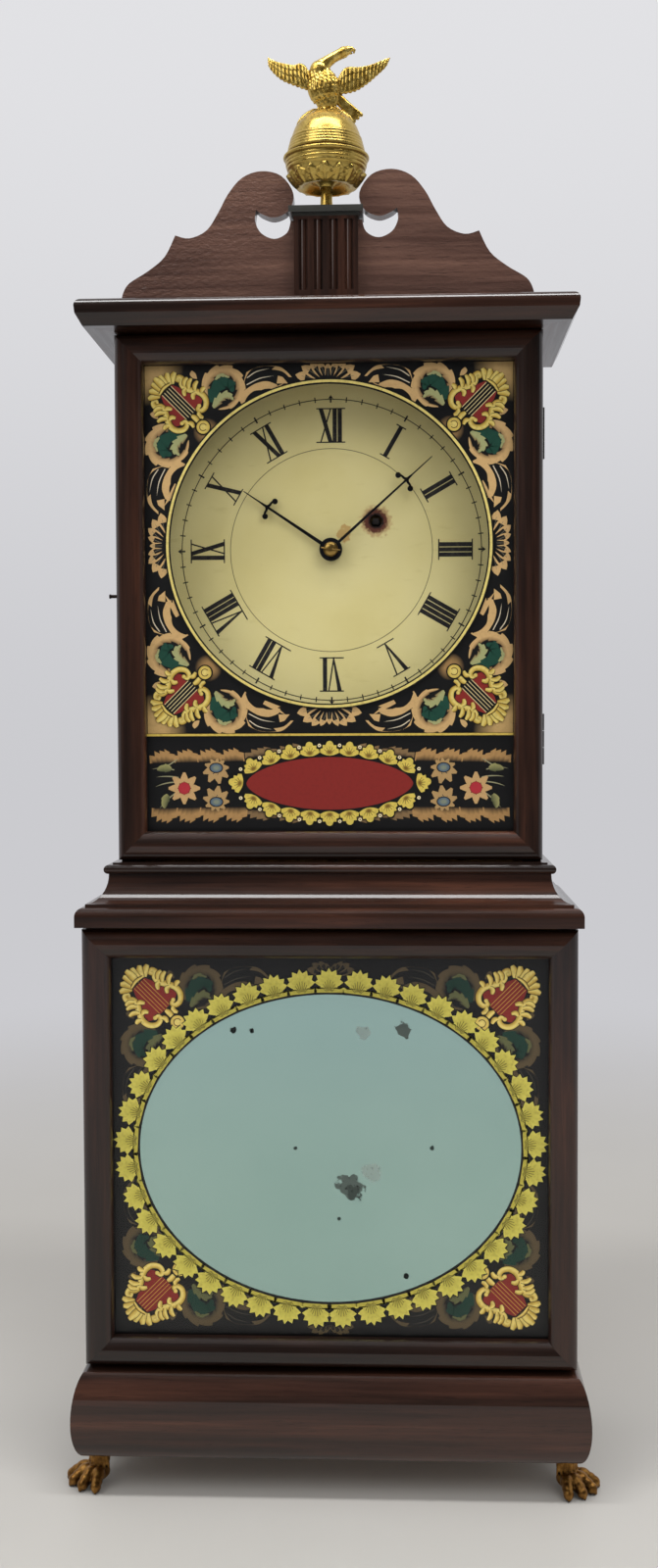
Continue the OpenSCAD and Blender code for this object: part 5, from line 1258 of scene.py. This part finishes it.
# A run's side of the pulley, the height it hangs from, and the share of its length that is left with the weight up
RUNS = (("weight_cord_drum_side", -1, CORD_HIGH.z, 0.252), ("weight_cord_tied_side", 1, SEAT_Z, 0.135))
for name, side, top, keep in RUNS:
    steps = [LOOP_AT.z + (top - LOOP_AT.z) * i / RUN_STEPS for i in range(RUN_STEPS + 1)]
    run = cord_tube(name, [Vector((LOOP_AT.x + side * LOOP_R, LOOP_AT.y, z)) for z in steps], "case")
    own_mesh(run)
bend = [math.pi + math.pi * i / LOOP_STEPS for i in range(LOOP_STEPS + 1)]
cord_loop = cord_tube("weight_cord_loop", [LOOP_AT + LOOP_R * Vector((math.cos(a), 0, math.sin(a))) for a in bend],
                      "driving_weight")
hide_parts("weight_cord")


# Finishes of the CAD nodes

CORNER = 92.7  # round a front corner of a moulding, the grain turns where |x| + y passes this

FINISH = {
    wood_up: "lower_sides upper_sides frame_left_stile frame_right_stile door_left_stile door_right_stile plinth",
    wood_across: "frame_top_rail frame_bottom_rail door_top_rail door_bottom_rail",
    wood("pediment_wood", PALE_WOOD, "x", peel=0.0011): "pediment",
    wood("base_wood", BASE_WOOD, "x", CORNER): "base_moulding",
    wood("middle_moulding_wood", MAHOGANY, "x", CORNER): "mid_moulding",
    wood("cornice_wood", MAHOGANY, "x", CORNER): "cornice",
    # the plinth's cap: grey-black wood, painted shade
    cap_painted_shade_wood: "plinth_cap",
    pine_up: "backboard mirror_backing dial_strips glazing_strips frame_pegs",
    pine_across: "bottom_board mid_board top_board seat_board",
    gilt: "finial_stem eagle finial_ball",
    bronze: "front_feet rear_feet",
    iron: "door_hinge_leaves case_hinge_leaves hinge_pins hook_pin door_hook",
    blued: "minute_hand hour_hand",
    steel: "pallets click pendulum_rod",
    arbor_steel: "winding_drum",
    cast_iron: "weight",
    cord_fibre: "weight_cord",
    glass: "dial_tablet mirror_tablet",
    dial_mat(DIAL_AT, WIND_AT): "dial",
    brass: "hand_collet front_plate back_plate pillars great_wheel centre_wheel cannon_pinion minute_wheel "
           "hour_wheel third_wheel escape_wheel suspension_cock pendulum_bob weight_pulley",
}
for finish, names in FINISH.items():
    for name in names.split():
        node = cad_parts[name]
        for part in node.material_slots:
            part.material = finish


# Floor, light and backdrop

FLOOR_TONES = rgb(185, 182, 177), rgb(190, 187, 182)
FLOOR_R = 3.0
GLOW_NEAR, GLOW_FAR = 0.5, 1.9
BACKDROP = rgb(226, 226, 229)
LOW_BACKDROP = rgb(203, 203, 207)
ROOM_DIM = 0.07


def floor_mat():
    """Pale floor that runs out into the backdrop's colour away from the clock."""
    s = Shader("pale_floor", roughness=0.55, specular_ior_level=0.25)
    s.set(base_color=s.ramp(s.noise(s.place, 3, 3), (0.3, FLOOR_TONES[0]), (0.7, FLOOR_TONES[1])))
    gap = s.node("ShaderNodeVectorMath", s.place, operation="LENGTH").outputs[1]
    far = s.level(gap, GLOW_NEAR, GLOW_FAR)
    glow = s.node("ShaderNodeEmission", LOW_BACKDROP, 1.0).outputs[0]
    both = s.node("ShaderNodeMixShader", far, s.surface.outputs[0], glow).outputs[0]
    s.feed(s.output.inputs["Surface"], both)
    return s.mat


rim = [(FLOOR_R * math.cos(TAU * i / 64), FLOOR_R * math.sin(TAU * i / 64), 0) for i in range(64)]
floor_mesh = bpy.data.meshes.new("floor")
floor_mesh.from_pydata(rim, [], [list(range(64))])
floor_mesh.materials.append(floor_mat())
floor = bpy.data.objects.new("floor", floor_mesh)
bpy.context.scene.collection.objects.link(floor)

# Light from all round is even. What the camera and gloss see is a pale wall behind the clock, and for gloss a dim room
# in front of it, which metal and varnish show
SOFT_LIGHT = 0.55
ROOM_FRONT, ROOM_BACK = -0.45, 0.2
WALL_LOW, WALL_HIGH = -0.06, 0.42

world = bpy.data.worlds.new("studio")
world.use_nodes = True
bpy.context.scene.world = world
sky = Nodes(world.node_tree)
rays = sky.node("ShaderNodeLightPath").outputs
heading = sky.node("ShaderNodeSeparateXYZ", sky.node("ShaderNodeTexCoord").outputs["Generated"]).outputs
room = sky.level(heading["Y"], ROOM_FRONT, ROOM_BACK, ROOM_DIM, 1.0)
wall = sky.mix(sky.level(heading["Z"], WALL_LOW, WALL_HIGH), LOW_BACKDROP, BACKDROP)
seen = sky.node("ShaderNodeBackground", wall, sky.math("MAXIMUM", room, rays["Is Camera Ray"]))
soft = sky.tree.nodes["Background"]
sky.feed(soft.inputs["Color"], (1, 1, 1, 1))
sky.feed(soft.inputs["Strength"], SOFT_LIGHT)
either = sky.math("MAXIMUM", rays["Is Camera Ray"], rays["Is Glossy Ray"])
choice = sky.node("ShaderNodeMixShader", either, soft.outputs[0], seen.outputs[0])
sky.feed(sky.tree.nodes["World Output"].inputs["Surface"], choice.outputs[0])

# Soft lamps that face the middle of the clock: place and size in metres, watts, and whether gloss shows the lamp
LAMPS = (("key", (-1.3, -1.6, 1.9), (1.2, 1.2), 12, True), ("fill", (1.0, -1.9, 2.0), (1.6, 1.6), 19, False),
         ("top", (0.0, -0.7, 2.3), (2.4, 0.26), 34, True))
LAMP_AIM = Vector((0, 0, 0.5))
for name, at, size, power, glossy in LAMPS:
    data = bpy.data.lights.new(name, "AREA")
    data.shape = "RECTANGLE"
    data.size, data.size_y = size
    data.energy = power
    lamp = bpy.data.objects.new(name, data)
    lamp.location = at
    lamp.rotation_euler = (LAMP_AIM - Vector(at)).to_track_quat("-Z", "Y").to_euler()
    lamp.visible_glossy = glossy
    bpy.context.scene.collection.objects.link(lamp)

bpy.context.scene.view_settings.view_transform = "Standard"
